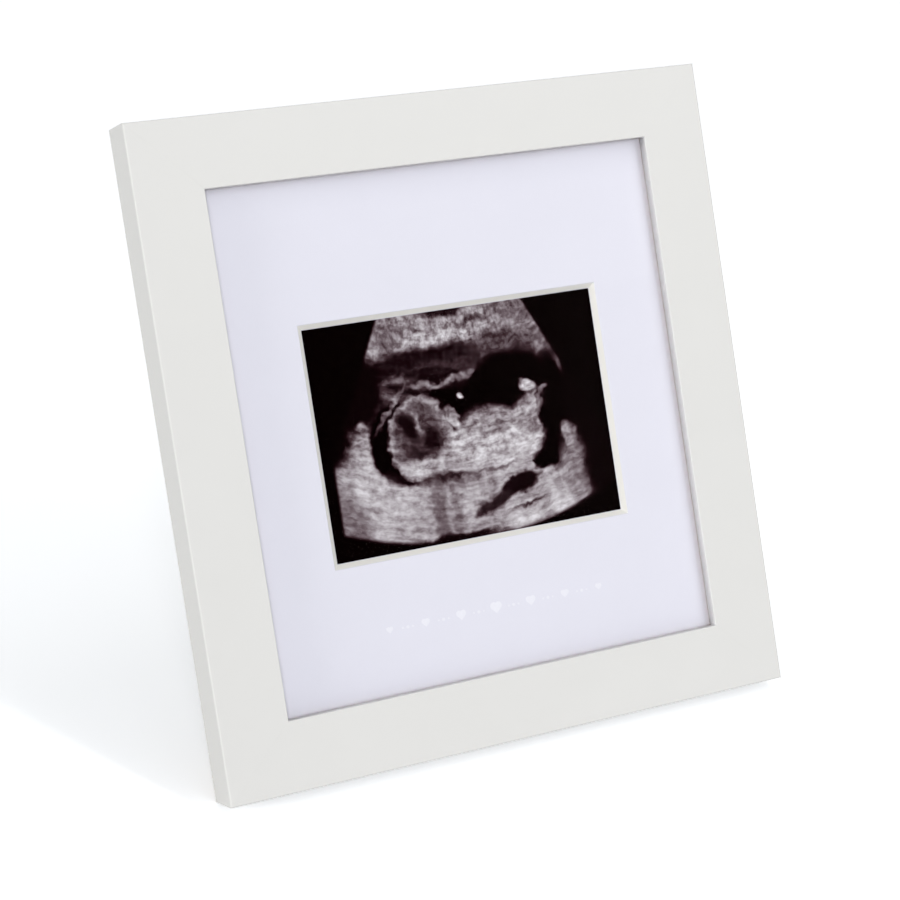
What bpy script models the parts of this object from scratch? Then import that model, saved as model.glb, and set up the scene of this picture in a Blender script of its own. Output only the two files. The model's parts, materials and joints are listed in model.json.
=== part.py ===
"""A leaning table frame for an ultrasound print, standing open on its strut.

Metres, +Z up, front towards -Y. The origin is on the surface that the frame stands on, under the
middle of its bounding box. Every piece is modelled upright, as if the frame stood square on its
bottom edge, with x across, y from the front face towards the back and z up the frame. An empty
then tilts the whole frame back by LEAN.
"""

import math

import bmesh
import bpy
from mathutils import Matrix, Vector

MM = 0.001

# The moulding
FRAME_WIDTH = 190 * MM
FRAME_HEIGHT = 201 * MM
RAIL_WIDTH = 21.5 * MM
LIP_WIDTH = 6 * MM
LIP_THICKNESS = 3.5 * MM
OUTER_ROUNDING = 0.8 * MM
INNER_ROUNDING = 0.7 * MM
GLUE_LINE = 0.1 * MM

# What lies in the rebate, front to back
GLASS_THICKNESS = 1.2 * MM
MAT_THICKNESS = 1.5 * MM
PRINT_THICKNESS = 0.3 * MM
FILLER_THICKNESS = 3.8 * MM
PANEL_THICKNESS = 3 * MM
PANEL_RECESS = 0.2 * MM
REBATE_CLEARANCE = 0.5 * MM
SEAT_GAP = 0.3 * MM

# The mat's window, measured where it meets the print, and the print behind it
WINDOW_WIDTH = 97.5 * MM
WINDOW_HEIGHT = 71 * MM
WINDOW_SHIFT_X = 0.15 * MM
WINDOW_SHIFT_Z = -1.3 * MM
WINDOW_BEVEL = math.radians(45)
PRINT_WIDTH = 101.6 * MM
PRINT_HEIGHT = 76.2 * MM

# The V-nails that close the mitres from the back
NAIL_LEG = 4 * MM
NAIL_SHEET = 0.6 * MM
NAIL_HEIGHT = 10 * MM
NAIL_SPREAD = math.radians(50)
NAIL_INSET = 6.5 * MM
NAIL_SPACING = 6 * MM
NAIL_CLEARANCE = 0.2 * MM

# The turn buttons on the side rails, and their screws
BUTTON_WIDTH = 8 * MM
BUTTON_REACH = 12 * MM
BUTTON_SHEET = 0.8 * MM
BUTTON_INSET = 9 * MM
BUTTON_FROM_END = 50 * MM
SCREW_RADIUS = 1.4 * MM
SCREW_LENGTH = 10.5 * MM
SCREW_TIP = 2.5 * MM
SCREW_HEAD_RADIUS = 2.8 * MM
SCREW_HEAD_RIM = 0.6 * MM
SCREW_HEAD_CROWN = 1 * MM
SLOT_LENGTH = 3.2 * MM
SLOT_WIDTH = 0.7 * MM
SLOT_DEPTH = 0.9 * MM
RUNNING_CLEARANCE = 0.1 * MM

# The hinge of the strut
HINGE_HEIGHT = 130 * MM
HINGE_SHEET = 0.8 * MM
HINGE_WIDTH = 40 * MM
HINGE_PLATE_LENGTH = 21 * MM
STRUT_LEAF_WIDTH = 22 * MM
STRUT_LEAF_LENGTH = 21 * MM
KNUCKLE_SIDE_GAP = 0.3 * MM
KNUCKLE_TURN = math.radians(280)
PIN_RADIUS = 1 * MM
PIN_OVERHANG = 0.6 * MM
PIN_CHAMFER = 0.2 * MM

# The rivets
RIVET_RADIUS = 1.5 * MM
RIVET_HEAD_RADIUS = 2.7 * MM
RIVET_HEAD_HEIGHT = 1.1 * MM
RIVET_TAIL_RADIUS = 2.3 * MM
RIVET_TAIL_HEIGHT = 0.7 * MM
PLATE_RIVET_HALF_SPAN = 13 * MM
PLATE_RIVET_HEIGHT = 16 * MM
STRUT_RIVET_HALF_SPAN = 6 * MM
STRUT_RIVET_DROP = 14 * MM

# The strut
STRUT_THICKNESS = 3 * MM
STRUT_TOP_WIDTH = 38 * MM
STRUT_FOOT_WIDTH = 52 * MM
STRUT_BLUNT = 1 * MM

# How the frame stands
LEAN = math.radians(20.7)
STRUT_OPENING = math.radians(32)

# How finely round shapes are cut, how far cutters run past what they cut, and the turn from z to y
ARC_STEPS = 4
ROLL_STEPS = 18
ROUND_STEPS = 24
CUT_MARGIN = 1 * MM
ALONG_Y = (-math.pi / 2, 0, 0)

# The depths of the stack, each from the front face
GLASS_FRONT = LIP_THICKNESS + SEAT_GAP
MAT_FRONT = GLASS_FRONT + GLASS_THICKNESS + SEAT_GAP
MAT_BACK = MAT_FRONT + MAT_THICKNESS
PRINT_FRONT = MAT_BACK + SEAT_GAP
FILLER_FRONT = PRINT_FRONT + PRINT_THICKNESS + SEAT_GAP
PANEL_FRONT = FILLER_FRONT + FILLER_THICKNESS + SEAT_GAP
PANEL_BACK = PANEL_FRONT + PANEL_THICKNESS
RAIL_DEPTH = PANEL_BACK + PANEL_RECESS

REBATE_INSET = RAIL_WIDTH - LIP_WIDTH
SHEET_WIDTH = FRAME_WIDTH - 2 * (REBATE_INSET + REBATE_CLEARANCE)
SHEET_HEIGHT = FRAME_HEIGHT - 2 * (REBATE_INSET + REBATE_CLEARANCE)
MIDDLE = FRAME_HEIGHT / 2

BUTTON_FRONT = RAIL_DEPTH + SEAT_GAP
SCREW_SEAT = BUTTON_FRONT + BUTTON_SHEET + RUNNING_CLEARANCE

# The hinge, each depth from the front face or, in the strut's own frame, from the pin's axis
BORE_RADIUS = PIN_RADIUS + RUNNING_CLEARANCE
KNUCKLE_RADIUS = BORE_RADIUS + HINGE_SHEET
PLATE_FRONT = PANEL_BACK + SEAT_GAP
PLATE_BACK = PLATE_FRONT + HINGE_SHEET
AXIS_DEPTH = PLATE_FRONT + KNUCKLE_RADIUS
STRUT_INNER = KNUCKLE_RADIUS + SEAT_GAP
STRUT_OUTER = STRUT_INNER + STRUT_THICKNESS
STRUT_SLANT = STRUT_OPENING - LEAN
AXIS_ABOVE_FLOOR = HINGE_HEIGHT * math.cos(LEAN) - (AXIS_DEPTH - RAIL_DEPTH) * math.sin(LEAN)


def foot_drop(out):
    """How far below the pin the strut ends, at a distance out from the pin, to stand flat."""
    return (AXIS_ABOVE_FLOOR + out * math.sin(STRUT_SLANT)) / math.cos(STRUT_SLANT)


def heel_rise(out):
    """How far above the pin the strut's heel ends, so that it stops on the hinge plate when open."""
    stop = AXIS_DEPTH - PLATE_BACK - SEAT_GAP
    return (out * math.cos(STRUT_OPENING) + stop) / math.sin(STRUT_OPENING)


def clear_scene():
    """Removes what the scene holds."""
    for obj in list(bpy.data.objects):
        bpy.data.objects.remove(obj, do_unlink=True)


def material(name, colour, roughness, metallic=0.0, alpha=1.0):
    """A plain Principled material."""
    made = bpy.data.materials.new(name)
    made.use_nodes = True
    shader = made.node_tree.nodes["Principled BSDF"]
    shader.inputs["Base Color"].default_value = (*colour, 1.0)
    shader.inputs["Roughness"].default_value = roughness
    shader.inputs["Metallic"].default_value = metallic
    shader.inputs["Alpha"].default_value = alpha
    made.diffuse_color = (*colour, alpha)
    return made


def empty(name, parent=None, location=(0, 0, 0), lean=0.0):
    """An empty that holds a place and a turn about x."""
    made = bpy.data.objects.new(name, None)
    bpy.context.scene.collection.objects.link(made)
    made.parent = parent
    made.location = location
    made.rotation_euler.x = lean
    return made


def add_object(name, mesh, parent, location=(0, 0, 0), rotation=(0, 0, 0)):
    """Places a mesh in the scene."""
    made = bpy.data.objects.new(name, mesh)
    bpy.context.scene.collection.objects.link(made)
    made.parent = parent
    made.location = location
    made.rotation_euler = rotation
    return made


def as_mesh(name, bm, finish=None):
    """Closes a bmesh's normals outwards and turns it into a mesh."""
    bmesh.ops.recalc_face_normals(bm, faces=bm.faces)
    made = bpy.data.meshes.new(name)
    bm.to_mesh(made)
    bm.free()
    if finish:
        made.materials.append(finish)
    return made


def box_mesh(name, low, high, finish=None):
    """A box between two corners."""
    low, high = Vector(low), Vector(high)
    bm = bmesh.new()
    bmesh.ops.create_cube(bm, size=1)
    bmesh.ops.scale(bm, vec=high - low, verts=bm.verts)
    bmesh.ops.translate(bm, vec=(low + high) / 2, verts=bm.verts)
    return as_mesh(name, bm, finish)


def drawn_mesh(name, outline, place, finish=None):
    """A flat outline drawn out into a solid, where place(point) gives where each far point goes."""
    bm = bmesh.new()
    face = bm.faces.new([bm.verts.new(point) for point in outline])
    made = bmesh.ops.extrude_face_region(bm, geom=[face])["geom"]
    for vert in (item for item in made if isinstance(item, bmesh.types.BMVert)):
        vert.co = place(vert.co)
    return as_mesh(name, bm, finish)


def prism_mesh(name, outline, half_width, finish=None):
    """A (depth, height) outline drawn out along x to half_width(height) on each side."""
    left = [(-half_width(z), y, z) for y, z in outline]
    return drawn_mesh(name, left, lambda point: (-point.x, point.y, point.z), finish)


def turned_mesh(name, profile, finish=None, steps=ROUND_STEPS):
    """A (radius, height) profile, from one point on the axis to another, turned round z."""
    bm = bmesh.new()
    verts = [bm.verts.new((radius, 0, height)) for radius, height in profile]
    edges = [bm.edges.new(pair) for pair in zip(verts, verts[1:])]
    bmesh.ops.spin(
        bm,
        geom=verts + edges,
        axis=(0, 0, 1),
        cent=(0, 0, 0),
        angle=math.tau,
        steps=steps,
        use_merge=True,
    )
    bmesh.ops.remove_doubles(bm, verts=bm.verts, dist=MM / 1000)
    made = as_mesh(name, bm, finish)
    made.shade_smooth()
    made.set_sharp_from_angle(angle=math.radians(30))
    return made


def rod_mesh(name, radius, low, high, finish=None, chamfer=0.0):
    """A round rod along z, from low to high, with an optional chamfer at both ends."""
    profile = [(0, low), (radius - chamfer, low), (radius, low + chamfer)]
    profile += [(radius, high - chamfer), (radius - chamfer, high), (0, high)]
    return turned_mesh(name, list(dict.fromkeys(profile)), finish)


def add_cutter(name, mesh, parent, location=(0, 0, 0), rotation=(0, 0, 0)):
    """Places a shape that only cuts others."""
    made = add_object(name, mesh, parent, location, rotation)
    made.hide_render = True
    made.display_type = "WIRE"
    return made


def cut(target, cutter):
    """Takes the cutter's shape out of the target."""
    modifier = target.modifiers.new("cut_" + cutter.name, "BOOLEAN")
    modifier.operation = "DIFFERENCE"
    modifier.object = cutter


def quarter(centre, radius, start):
    """Points of a quarter circle in (depth, height), turning back from the angle start."""
    turns = [start - math.pi / 2 * step / ARC_STEPS for step in range(ARC_STEPS + 1)]
    return [(centre[0] + radius * math.cos(a), centre[1] + radius * math.sin(a)) for a in turns]


def rail_mesh(name, length, finish):
    """A mitred rail along x: y is its depth and z its distance from the frame's outer edge."""
    outline = quarter((OUTER_ROUNDING, OUTER_ROUNDING), OUTER_ROUNDING, -math.pi / 2)
    outline += quarter((INNER_ROUNDING, RAIL_WIDTH - INNER_ROUNDING), INNER_ROUNDING, math.pi)
    outline += [(LIP_THICKNESS, RAIL_WIDTH), (LIP_THICKNESS, REBATE_INSET)]
    outline += [(RAIL_DEPTH, REBATE_INSET), (RAIL_DEPTH, 0)]
    glue = GLUE_LINE / 2 * math.sqrt(2)
    return prism_mesh(name, outline, lambda inset: length / 2 - inset - glue, finish)


def add_rails(tilt, finish):
    """The four rails of the moulding, by name."""
    across = rail_mesh("rail_across", FRAME_WIDTH, finish)
    upright = rail_mesh("rail_upright", FRAME_HEIGHT, finish)
    side = FRAME_WIDTH / 2
    return {
        "bottom": add_object("rail_bottom", across, tilt),
        "top": add_object("rail_top", across.copy(), tilt, (0, 0, FRAME_HEIGHT), (0, math.pi, 0)),
        "left": add_object("rail_left", upright, tilt, (-side, 0, MIDDLE), (0, math.pi / 2, 0)),
        "right": add_object("rail_right", upright.copy(), tilt, (side, 0, MIDDLE), (0, -math.pi / 2, 0)),
    }


def nail_mesh(name, grow, finish=None):
    """A V-nail round y, its point towards +x, its top at y = 0, grown all round by a clearance."""
    half = NAIL_SHEET / 2 + grow
    leg = NAIL_LEG + grow
    along = Vector((-math.cos(NAIL_SPREAD), math.sin(NAIL_SPREAD)))
    across = Vector((along.y, -along.x))
    tip = half / math.sin(NAIL_SPREAD)
    upper = [along * leg + across * half, along * leg - across * half]
    lower = [Vector((point.x, -point.y)) for point in reversed(upper)]
    outline = [Vector((tip, 0)), *upper, Vector((-tip, 0)), *lower]
    top = CUT_MARGIN if grow else 0
    bottom = -NAIL_HEIGHT - grow
    points = [(point.x, top, point.y) for point in outline]
    return drawn_mesh(name, points, lambda point: (point.x, bottom, point.z), finish)


def add_nails(tilt, rails, finish):
    """Two V-nails in each mitre, their points towards the picture, sunk just under the back."""
    nail = nail_mesh("v_nail", 0, finish)
    corners = {
        ("bottom", "left"): (-1, -1, -math.pi / 4),
        ("bottom", "right"): (1, -1, -3 * math.pi / 4),
        ("top", "right"): (1, 1, 3 * math.pi / 4),
        ("top", "left"): (-1, 1, math.pi / 4),
    }
    slot = nail_mesh("v_nail_slot", NAIL_CLEARANCE)
    for (level, side), (across, up, turn) in corners.items():
        for place, distance in (("outer", NAIL_INSET), ("inner", NAIL_INSET + NAIL_SPACING)):
            x = across * (FRAME_WIDTH / 2 - distance)
            z = MIDDLE + up * (FRAME_HEIGHT / 2 - distance)
            where = (x, RAIL_DEPTH - SEAT_GAP, z)
            name = f"v_nail_{level}_{side}_{place}"
            add_object(name, nail, tilt, where, (0, turn, 0))
            cutter = add_cutter("slot_" + name, slot, tilt, where, (0, turn, 0))
            cut(rails[level], cutter)
            cut(rails[side], cutter)


def add_sheet(name, tilt, front, thickness, finish, width=SHEET_WIDTH, height=SHEET_HEIGHT, at=(0, MIDDLE)):
    """A flat rectangular sheet in the frame, centred on (x, z)."""
    low = (at[0] - width / 2, front, at[1] - height / 2)
    high = (at[0] + width / 2, front + thickness, at[1] + height / 2)
    return add_object(name, box_mesh(name, low, high, finish), tilt)


def window_mesh(name):
    """The bevelled window of the mat, as a block that runs past both faces and is widest in front."""
    back = MAT_BACK + CUT_MARGIN
    front = MAT_FRONT - CUT_MARGIN
    bm = bmesh.new()
    bmesh.ops.create_cube(bm, size=2)
    for vert in bm.verts:
        depth = back if vert.co.y > 0 else front
        spread = (MAT_BACK - depth) * math.tan(WINDOW_BEVEL)
        vert.co.x *= WINDOW_WIDTH / 2 + spread
        vert.co.z *= WINDOW_HEIGHT / 2 + spread
        vert.co.y = depth
    return as_mesh(name, bm)


def add_stack(tilt, finishes):
    """Glass, mat, print, filler and back panel. The panel is returned, because rivets pass it."""
    picture = (WINDOW_SHIFT_X, MIDDLE + WINDOW_SHIFT_Z)
    add_sheet("glass_pane", tilt, GLASS_FRONT, GLASS_THICKNESS, finishes["glass"])
    mat = add_sheet("mat_board", tilt, MAT_FRONT, MAT_THICKNESS, finishes["mat"])
    window = add_cutter("mat_window", window_mesh("mat_window"), tilt, (picture[0], 0, picture[1]))
    cut(mat, window)
    size = {"width": PRINT_WIDTH, "height": PRINT_HEIGHT, "at": picture}
    add_sheet("scan_print", tilt, PRINT_FRONT, PRINT_THICKNESS, finishes["print"], **size)
    add_sheet("filler_card", tilt, FILLER_FRONT, FILLER_THICKNESS, finishes["card"])
    return add_sheet("back_panel", tilt, PANEL_FRONT, PANEL_THICKNESS, finishes["panel"])


def button_mesh(name, finish):
    """A flat strip with round ends, its hole at the origin and its tip towards +x, 0 to its sheet in y."""
    radius = BUTTON_WIDTH / 2
    half_steps = ROUND_STEPS // 2
    outline = []
    for centre, start in ((BUTTON_REACH, -math.pi / 2), (0, math.pi / 2)):
        turns = [start + math.pi * step / half_steps for step in range(half_steps + 1)]
        outline += [(centre + radius * math.cos(a), 0, radius * math.sin(a)) for a in turns]
    return drawn_mesh(name, outline, lambda point: (point.x, BUTTON_SHEET, point.z), finish)


def dome_profile(radius, rim, crown):
    """A (radius, height) profile of a domed head, from its top down to its rim."""
    turns = [math.pi / 2 * step / ARC_STEPS for step in range(ARC_STEPS + 1)]
    return [(radius * math.sin(a), rim + crown * math.cos(a)) for a in turns]


def screw_mesh(name, finish):
    """A pan-head wood screw along z, its head's seat at z = 0."""
    dome = dome_profile(SCREW_HEAD_RADIUS, SCREW_HEAD_RIM, SCREW_HEAD_CROWN)
    shank = [(SCREW_HEAD_RADIUS, 0), (SCREW_RADIUS, 0), (SCREW_RADIUS, SCREW_TIP - SCREW_LENGTH)]
    return turned_mesh(name, [*dome, *shank, (0, -SCREW_LENGTH)], finish)


def cross_mesh(name):
    """The cross recess of a screw's head, round z, with its floor SLOT_DEPTH below the head's top."""
    floor = SCREW_HEAD_RIM + SCREW_HEAD_CROWN - SLOT_DEPTH
    top = SCREW_HEAD_RIM + SCREW_HEAD_CROWN + CUT_MARGIN
    long, short = SLOT_LENGTH / 2, SLOT_WIDTH / 2
    arm = [Vector((long, -short, floor)), Vector((long, short, floor)), Vector((short, short, floor))]
    turns = [Matrix.Rotation(math.pi / 2 * step, 3, "Z") for step in range(4)]
    outline = [turn @ point for turn in turns for point in arm]
    return drawn_mesh(name, outline, lambda point: (point.x, point.y, top))


def add_turn_buttons(tilt, rails, finishes):
    """Four turn buttons, each with its origin on its screw, their tips over the back panel."""
    button = button_mesh("turn_button", finishes["steel"])
    screw = screw_mesh("button_screw", finishes["screw"])
    hole = rod_mesh("button_hole", SCREW_RADIUS + RUNNING_CLEARANCE, -CUT_MARGIN, BUTTON_SHEET + CUT_MARGIN)
    tip = SCREW_SEAT - SCREW_LENGTH - SEAT_GAP
    pilot = rod_mesh("pilot_hole", SCREW_RADIUS + SEAT_GAP, tip, RAIL_DEPTH + CUT_MARGIN)
    cross = cross_mesh("screw_cross")
    for side, across, turn in (("left", -1, 0), ("right", 1, math.pi)):
        x = across * (FRAME_WIDTH / 2 - BUTTON_INSET)
        for level, z in (("lower", BUTTON_FROM_END), ("upper", FRAME_HEIGHT - BUTTON_FROM_END)):
            place = f"{side}_{level}"
            made = add_object("turn_button_" + place, button, tilt, (x, BUTTON_FRONT, z), (0, turn, 0))
            cut(made, add_cutter("hole_" + place, hole, tilt, (x, BUTTON_FRONT, z), ALONG_Y))
            cut(rails[side], add_cutter("pilot_" + place, pilot, tilt, (x, 0, z), ALONG_Y))
            held = add_object("button_screw_" + place, screw, tilt, (x, SCREW_SEAT, z), ALONG_Y)
            cut(held, add_cutter("cross_" + place, cross, tilt, (x, SCREW_SEAT, z), ALONG_Y))


def rolled_leaf(length):
    """A hinge leaf's section in (depth, height) round the pin, the leaf running up on the panel's side."""
    turns = [KNUCKLE_TURN * step / ROLL_STEPS for step in range(ROLL_STEPS + 1)]
    outer = [(-KNUCKLE_RADIUS * math.cos(a), -KNUCKLE_RADIUS * math.sin(a)) for a in turns]
    inner = [(-BORE_RADIUS * math.cos(a), -BORE_RADIUS * math.sin(a)) for a in reversed(turns)]
    return [(-KNUCKLE_RADIUS, length), *outer, *inner, (-BORE_RADIUS, length)]


def rivet_mesh(name, grip, finish):
    """A rivet along z: its dome head above z = 0 and its flat tail below z = -grip."""
    dome = dome_profile(RIVET_HEAD_RADIUS, 0, RIVET_HEAD_HEIGHT)
    tail = [(RIVET_RADIUS, -grip), (RIVET_TAIL_RADIUS, -grip), (RIVET_TAIL_RADIUS, -grip - RIVET_TAIL_HEIGHT)]
    return turned_mesh(name, [*dome, (RIVET_RADIUS, 0), *tail, (0, -grip - RIVET_TAIL_HEIGHT)], finish)


def add_hinge(tilt, panel, finishes):
    """The fixed leaf, its rivets and the pin, all of which stay with the frame."""
    axis = (0, AXIS_DEPTH, HINGE_HEIGHT)
    section = rolled_leaf(HINGE_PLATE_LENGTH)
    plate_mesh = prism_mesh("hinge_plate", section, lambda height: HINGE_WIDTH / 2, finishes["steel"])
    plate = add_object("hinge_plate", plate_mesh, tilt, axis)
    half = STRUT_LEAF_WIDTH / 2 + KNUCKLE_SIDE_GAP
    reach = KNUCKLE_RADIUS + SEAT_GAP
    notch = box_mesh("hinge_notch", (-half, -reach - CUT_MARGIN, -reach - CUT_MARGIN), (half, reach, reach))
    cut(plate, add_cutter("hinge_notch", notch, tilt, axis))

    pin_half = HINGE_WIDTH / 2 + PIN_OVERHANG
    pin = rod_mesh("hinge_pin", PIN_RADIUS, -pin_half, pin_half, finishes["screw"], PIN_CHAMFER)
    add_object("hinge_pin", pin, tilt, axis, (0, math.pi / 2, 0))

    head_seat = PLATE_BACK + SEAT_GAP
    tail_seat = PANEL_FRONT + SEAT_GAP + RIVET_TAIL_HEIGHT
    rivet = rivet_mesh("plate_rivet", head_seat - tail_seat, finishes["screw"])
    mouth, floor, end = PANEL_FRONT - CUT_MARGIN, tail_seat + SEAT_GAP, PLATE_BACK + CUT_MARGIN
    sink = RIVET_TAIL_RADIUS + SEAT_GAP
    hole = RIVET_RADIUS + SEAT_GAP
    steps = [(0, mouth), (sink, mouth), (sink, floor), (hole, floor), (hole, end), (0, end)]
    passage_mesh = turned_mesh("plate_rivet_hole", steps)
    height = HINGE_HEIGHT + PLATE_RIVET_HEIGHT
    for side, x in (("left", -PLATE_RIVET_HALF_SPAN), ("right", PLATE_RIVET_HALF_SPAN)):
        add_object("plate_rivet_" + side, rivet, tilt, (x, head_seat, height), ALONG_Y)
        passage = add_cutter("plate_rivet_hole_" + side, passage_mesh, tilt, (x, 0, height), ALONG_Y)
        cut(plate, passage)
        cut(panel, passage)


def strut_half_width(height):
    """Half the strut's width at a height from the pin, wider towards its foot."""
    share = (heel_rise(STRUT_OUTER) - height) / (heel_rise(STRUT_OUTER) + foot_drop(STRUT_OUTER))
    return (STRUT_TOP_WIDTH + (STRUT_FOOT_WIDTH - STRUT_TOP_WIDTH) * share) / 2


def strut_outline():
    """The strut's side view in (depth, height) round the pin, folded: foot, back, blunt top and heel."""
    top = heel_rise(STRUT_OUTER) - STRUT_BLUNT
    top_depth = STRUT_OUTER - STRUT_BLUNT * math.tan(STRUT_OPENING)
    return [
        (STRUT_INNER, -foot_drop(STRUT_INNER)),
        (STRUT_OUTER, -foot_drop(STRUT_OUTER)),
        (STRUT_OUTER, top),
        (top_depth, top),
        (STRUT_INNER, heel_rise(STRUT_INNER)),
    ]


def add_strut(tilt, finishes):
    """The strut, its leaf and its rivets, which all turn round the pin."""
    turn = empty("strut_axis", tilt, (0, AXIS_DEPTH, HINGE_HEIGHT), STRUT_OPENING)
    board_mesh = prism_mesh("strut", strut_outline(), strut_half_width, finishes["panel"])
    board = add_object("strut", board_mesh, turn)
    section = [(-depth, -height) for depth, height in rolled_leaf(STRUT_LEAF_LENGTH)]
    leaf_mesh = prism_mesh("strut_leaf", section, lambda height: STRUT_LEAF_WIDTH / 2, finishes["steel"])
    leaf = add_object("strut_leaf", leaf_mesh, turn)

    head_seat = STRUT_OUTER + SEAT_GAP
    tail_seat = BORE_RADIUS - SEAT_GAP
    rivet = rivet_mesh("strut_rivet", head_seat - tail_seat, finishes["screw"])
    hole = rod_mesh("strut_rivet_hole", RIVET_RADIUS + SEAT_GAP, -CUT_MARGIN, head_seat + CUT_MARGIN)
    for side, x in (("left", -STRUT_RIVET_HALF_SPAN), ("right", STRUT_RIVET_HALF_SPAN)):
        add_object("strut_rivet_" + side, rivet, turn, (x, head_seat, -STRUT_RIVET_DROP), ALONG_Y)
        passage = add_cutter("strut_rivet_hole_" + side, hole, turn, (x, 0, -STRUT_RIVET_DROP), ALONG_Y)
        cut(leaf, passage)
        cut(board, passage)


def standing_place():
    """Where the tilted frame's front lower edge line goes, so that the whole stands over the origin."""
    front = OUTER_ROUNDING * (math.cos(LEAN) + math.sin(LEAN) - 1)
    axis = AXIS_DEPTH * math.cos(LEAN) + HINGE_HEIGHT * math.sin(LEAN)
    foot = foot_drop(STRUT_OUTER) * math.sin(STRUT_SLANT) + STRUT_OUTER * math.cos(STRUT_SLANT)
    top = RAIL_DEPTH * math.cos(LEAN) + FRAME_HEIGHT * math.sin(LEAN)
    back = max(axis + foot, top)
    return (0, -(front + back) / 2, RAIL_DEPTH * math.sin(LEAN))


def main():
    """Builds the frame, piece by piece."""
    clear_scene()
    finishes = {
        "wrap": material("white_wrap", (0.78, 0.78, 0.765), 0.42),
        "glass": material("clear_glass", (0.93, 0.96, 0.95), 0.03, alpha=0.2),
        "mat": material("white_mat", (0.80, 0.80, 0.89), 0.85),
        "print": material("glossy_print", (0.12, 0.11, 0.12), 0.25),
        "card": material("corrugated_card", (0.42, 0.29, 0.17), 0.9),
        "panel": material("black_faced_board", (0.03, 0.03, 0.032), 0.75),
        "steel": material("zinc_plated_steel", (0.62, 0.62, 0.63), 0.35, metallic=1.0),
        "screw": material("nickel_plated_steel", (0.68, 0.66, 0.62), 0.25, metallic=1.0),
    }
    tilt = empty("tilt", location=standing_place(), lean=-LEAN)
    rails = add_rails(tilt, finishes["wrap"])
    add_nails(tilt, rails, finishes["steel"])
    panel = add_stack(tilt, finishes)
    add_turn_buttons(tilt, rails, finishes)
    add_hinge(tilt, panel, finishes)
    add_strut(tilt, finishes)


main()
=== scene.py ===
"""The looks of a leaning table frame that shows an ultrasound print in a bevelled white mat.

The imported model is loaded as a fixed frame. Each of its pieces is then dressed, or replaced by a
finer one in the same place. The picture frame's pieces are modelled as they lie on the bench: x
across, y from the front face towards the back, z up the frame, with the origin in the middle of the
front lower edge. The strut's pieces are modelled folded, round the hinge pin. Each piece is then
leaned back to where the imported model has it.
"""

import json
import logging
import math
from collections.abc import Callable, Iterator, Sequence
from contextlib import contextmanager
from dataclasses import dataclass, field
from enum import Enum

import bmesh
import bpy
from mathutils import Euler, Matrix, Vector


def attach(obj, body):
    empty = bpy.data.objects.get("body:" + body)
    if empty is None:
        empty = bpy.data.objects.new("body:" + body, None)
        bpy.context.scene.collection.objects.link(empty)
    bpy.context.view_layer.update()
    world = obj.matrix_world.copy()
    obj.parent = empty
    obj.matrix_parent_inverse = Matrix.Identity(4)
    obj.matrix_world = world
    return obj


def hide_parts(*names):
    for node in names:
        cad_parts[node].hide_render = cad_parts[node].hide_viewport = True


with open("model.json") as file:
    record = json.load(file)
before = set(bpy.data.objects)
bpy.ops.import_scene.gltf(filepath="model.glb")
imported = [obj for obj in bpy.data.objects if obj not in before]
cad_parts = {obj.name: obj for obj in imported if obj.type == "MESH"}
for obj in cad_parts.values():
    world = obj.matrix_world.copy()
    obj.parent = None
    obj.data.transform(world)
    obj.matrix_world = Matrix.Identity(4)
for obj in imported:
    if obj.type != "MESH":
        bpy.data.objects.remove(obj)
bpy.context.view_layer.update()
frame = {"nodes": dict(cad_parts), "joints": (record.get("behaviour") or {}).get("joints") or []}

RAILS = ("rail_bottom", "rail_top", "rail_left", "rail_right")
NAILS = [node for node in frame["nodes"] if node.startswith("v_nail_")]
PLATE_RIVETS = ("plate_rivet_left", "plate_rivet_right")
STRUT_RIVETS = ("strut_rivet_left", "strut_rivet_right")

MM = 0.001
TOUCH = 0.02 * MM
DOUBLED = TOUCH / 10
SEAT_GAP = 0.3 * MM
PAST = 1 * MM
QUARTER_TURN = math.pi / 2
ALONG_DEPTH = (-QUARTER_TURN, 0, 0)
SMOOTH_ANGLE = math.radians(32)
SHARP_ANGLE = math.radians(40)
FACING = 0.9
HOLE_STEPS = 32
WHITE = (1.0, 1.0, 1.0, 1.0)

Colour = tuple[float, float, float, float]
Ring = tuple[float, float]
Test = Callable[[Vector, Vector], bool]
log = logging.getLogger("ultrasound_frame")


def paint(red: float, green: float, blue: float) -> Colour:
    """Turns a colour as a screen shows it into the linear one that a shader reads.

    Args:
        red: How much red, 0 to 255.
        green: How much green, 0 to 255.
        blue: How much blue, 0 to 255.

    Returns:
        The linear colour, with full alpha.
    """
    shares = [value / 255 for value in (red, green, blue)]
    linear = [share / 12.92 if share < 0.04045 else ((share + 0.055) / 1.055) ** 2.4 for share in shares]
    return (*linear, 1.0)


def scaled(colour: Colour, share: float) -> Colour:
    """A colour made darker or lighter."""
    return (*(part * share for part in colour[:3]), colour[3])


def facing(*way: float) -> Test:
    """Makes a test for what points along a way, wherever it is.

    Args:
        way: The way, of length 1.

    Returns:
        The test.
    """
    return lambda place, normal: normal.dot(Vector(way)) > FACING


class Body(Enum):
    """The bodies that pieces ride on."""

    FRAME = "frame"
    STRUT = "strut"
    LEFT_LOWER_BUTTON = "turn_button_left_lower"
    LEFT_UPPER_BUTTON = "turn_button_left_upper"
    RIGHT_LOWER_BUTTON = "turn_button_right_lower"
    RIGHT_UPPER_BUTTON = "turn_button_right_upper"


BUTTONS = [body for body in Body if body.value.startswith("turn_button_")]


class Element(Enum):
    """What is picked in edit mode."""

    VERTEX = "VERT"
    EDGE = "EDGE"
    FACE = "FACE"


class Meeting(Enum):
    """What becomes of two solids that meet."""

    WELD = "UNION"
    CUT = "DIFFERENCE"


class LampKind(Enum):
    """The lamps of the studio."""

    PANEL = "AREA"
    FAR = "SUN"


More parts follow.
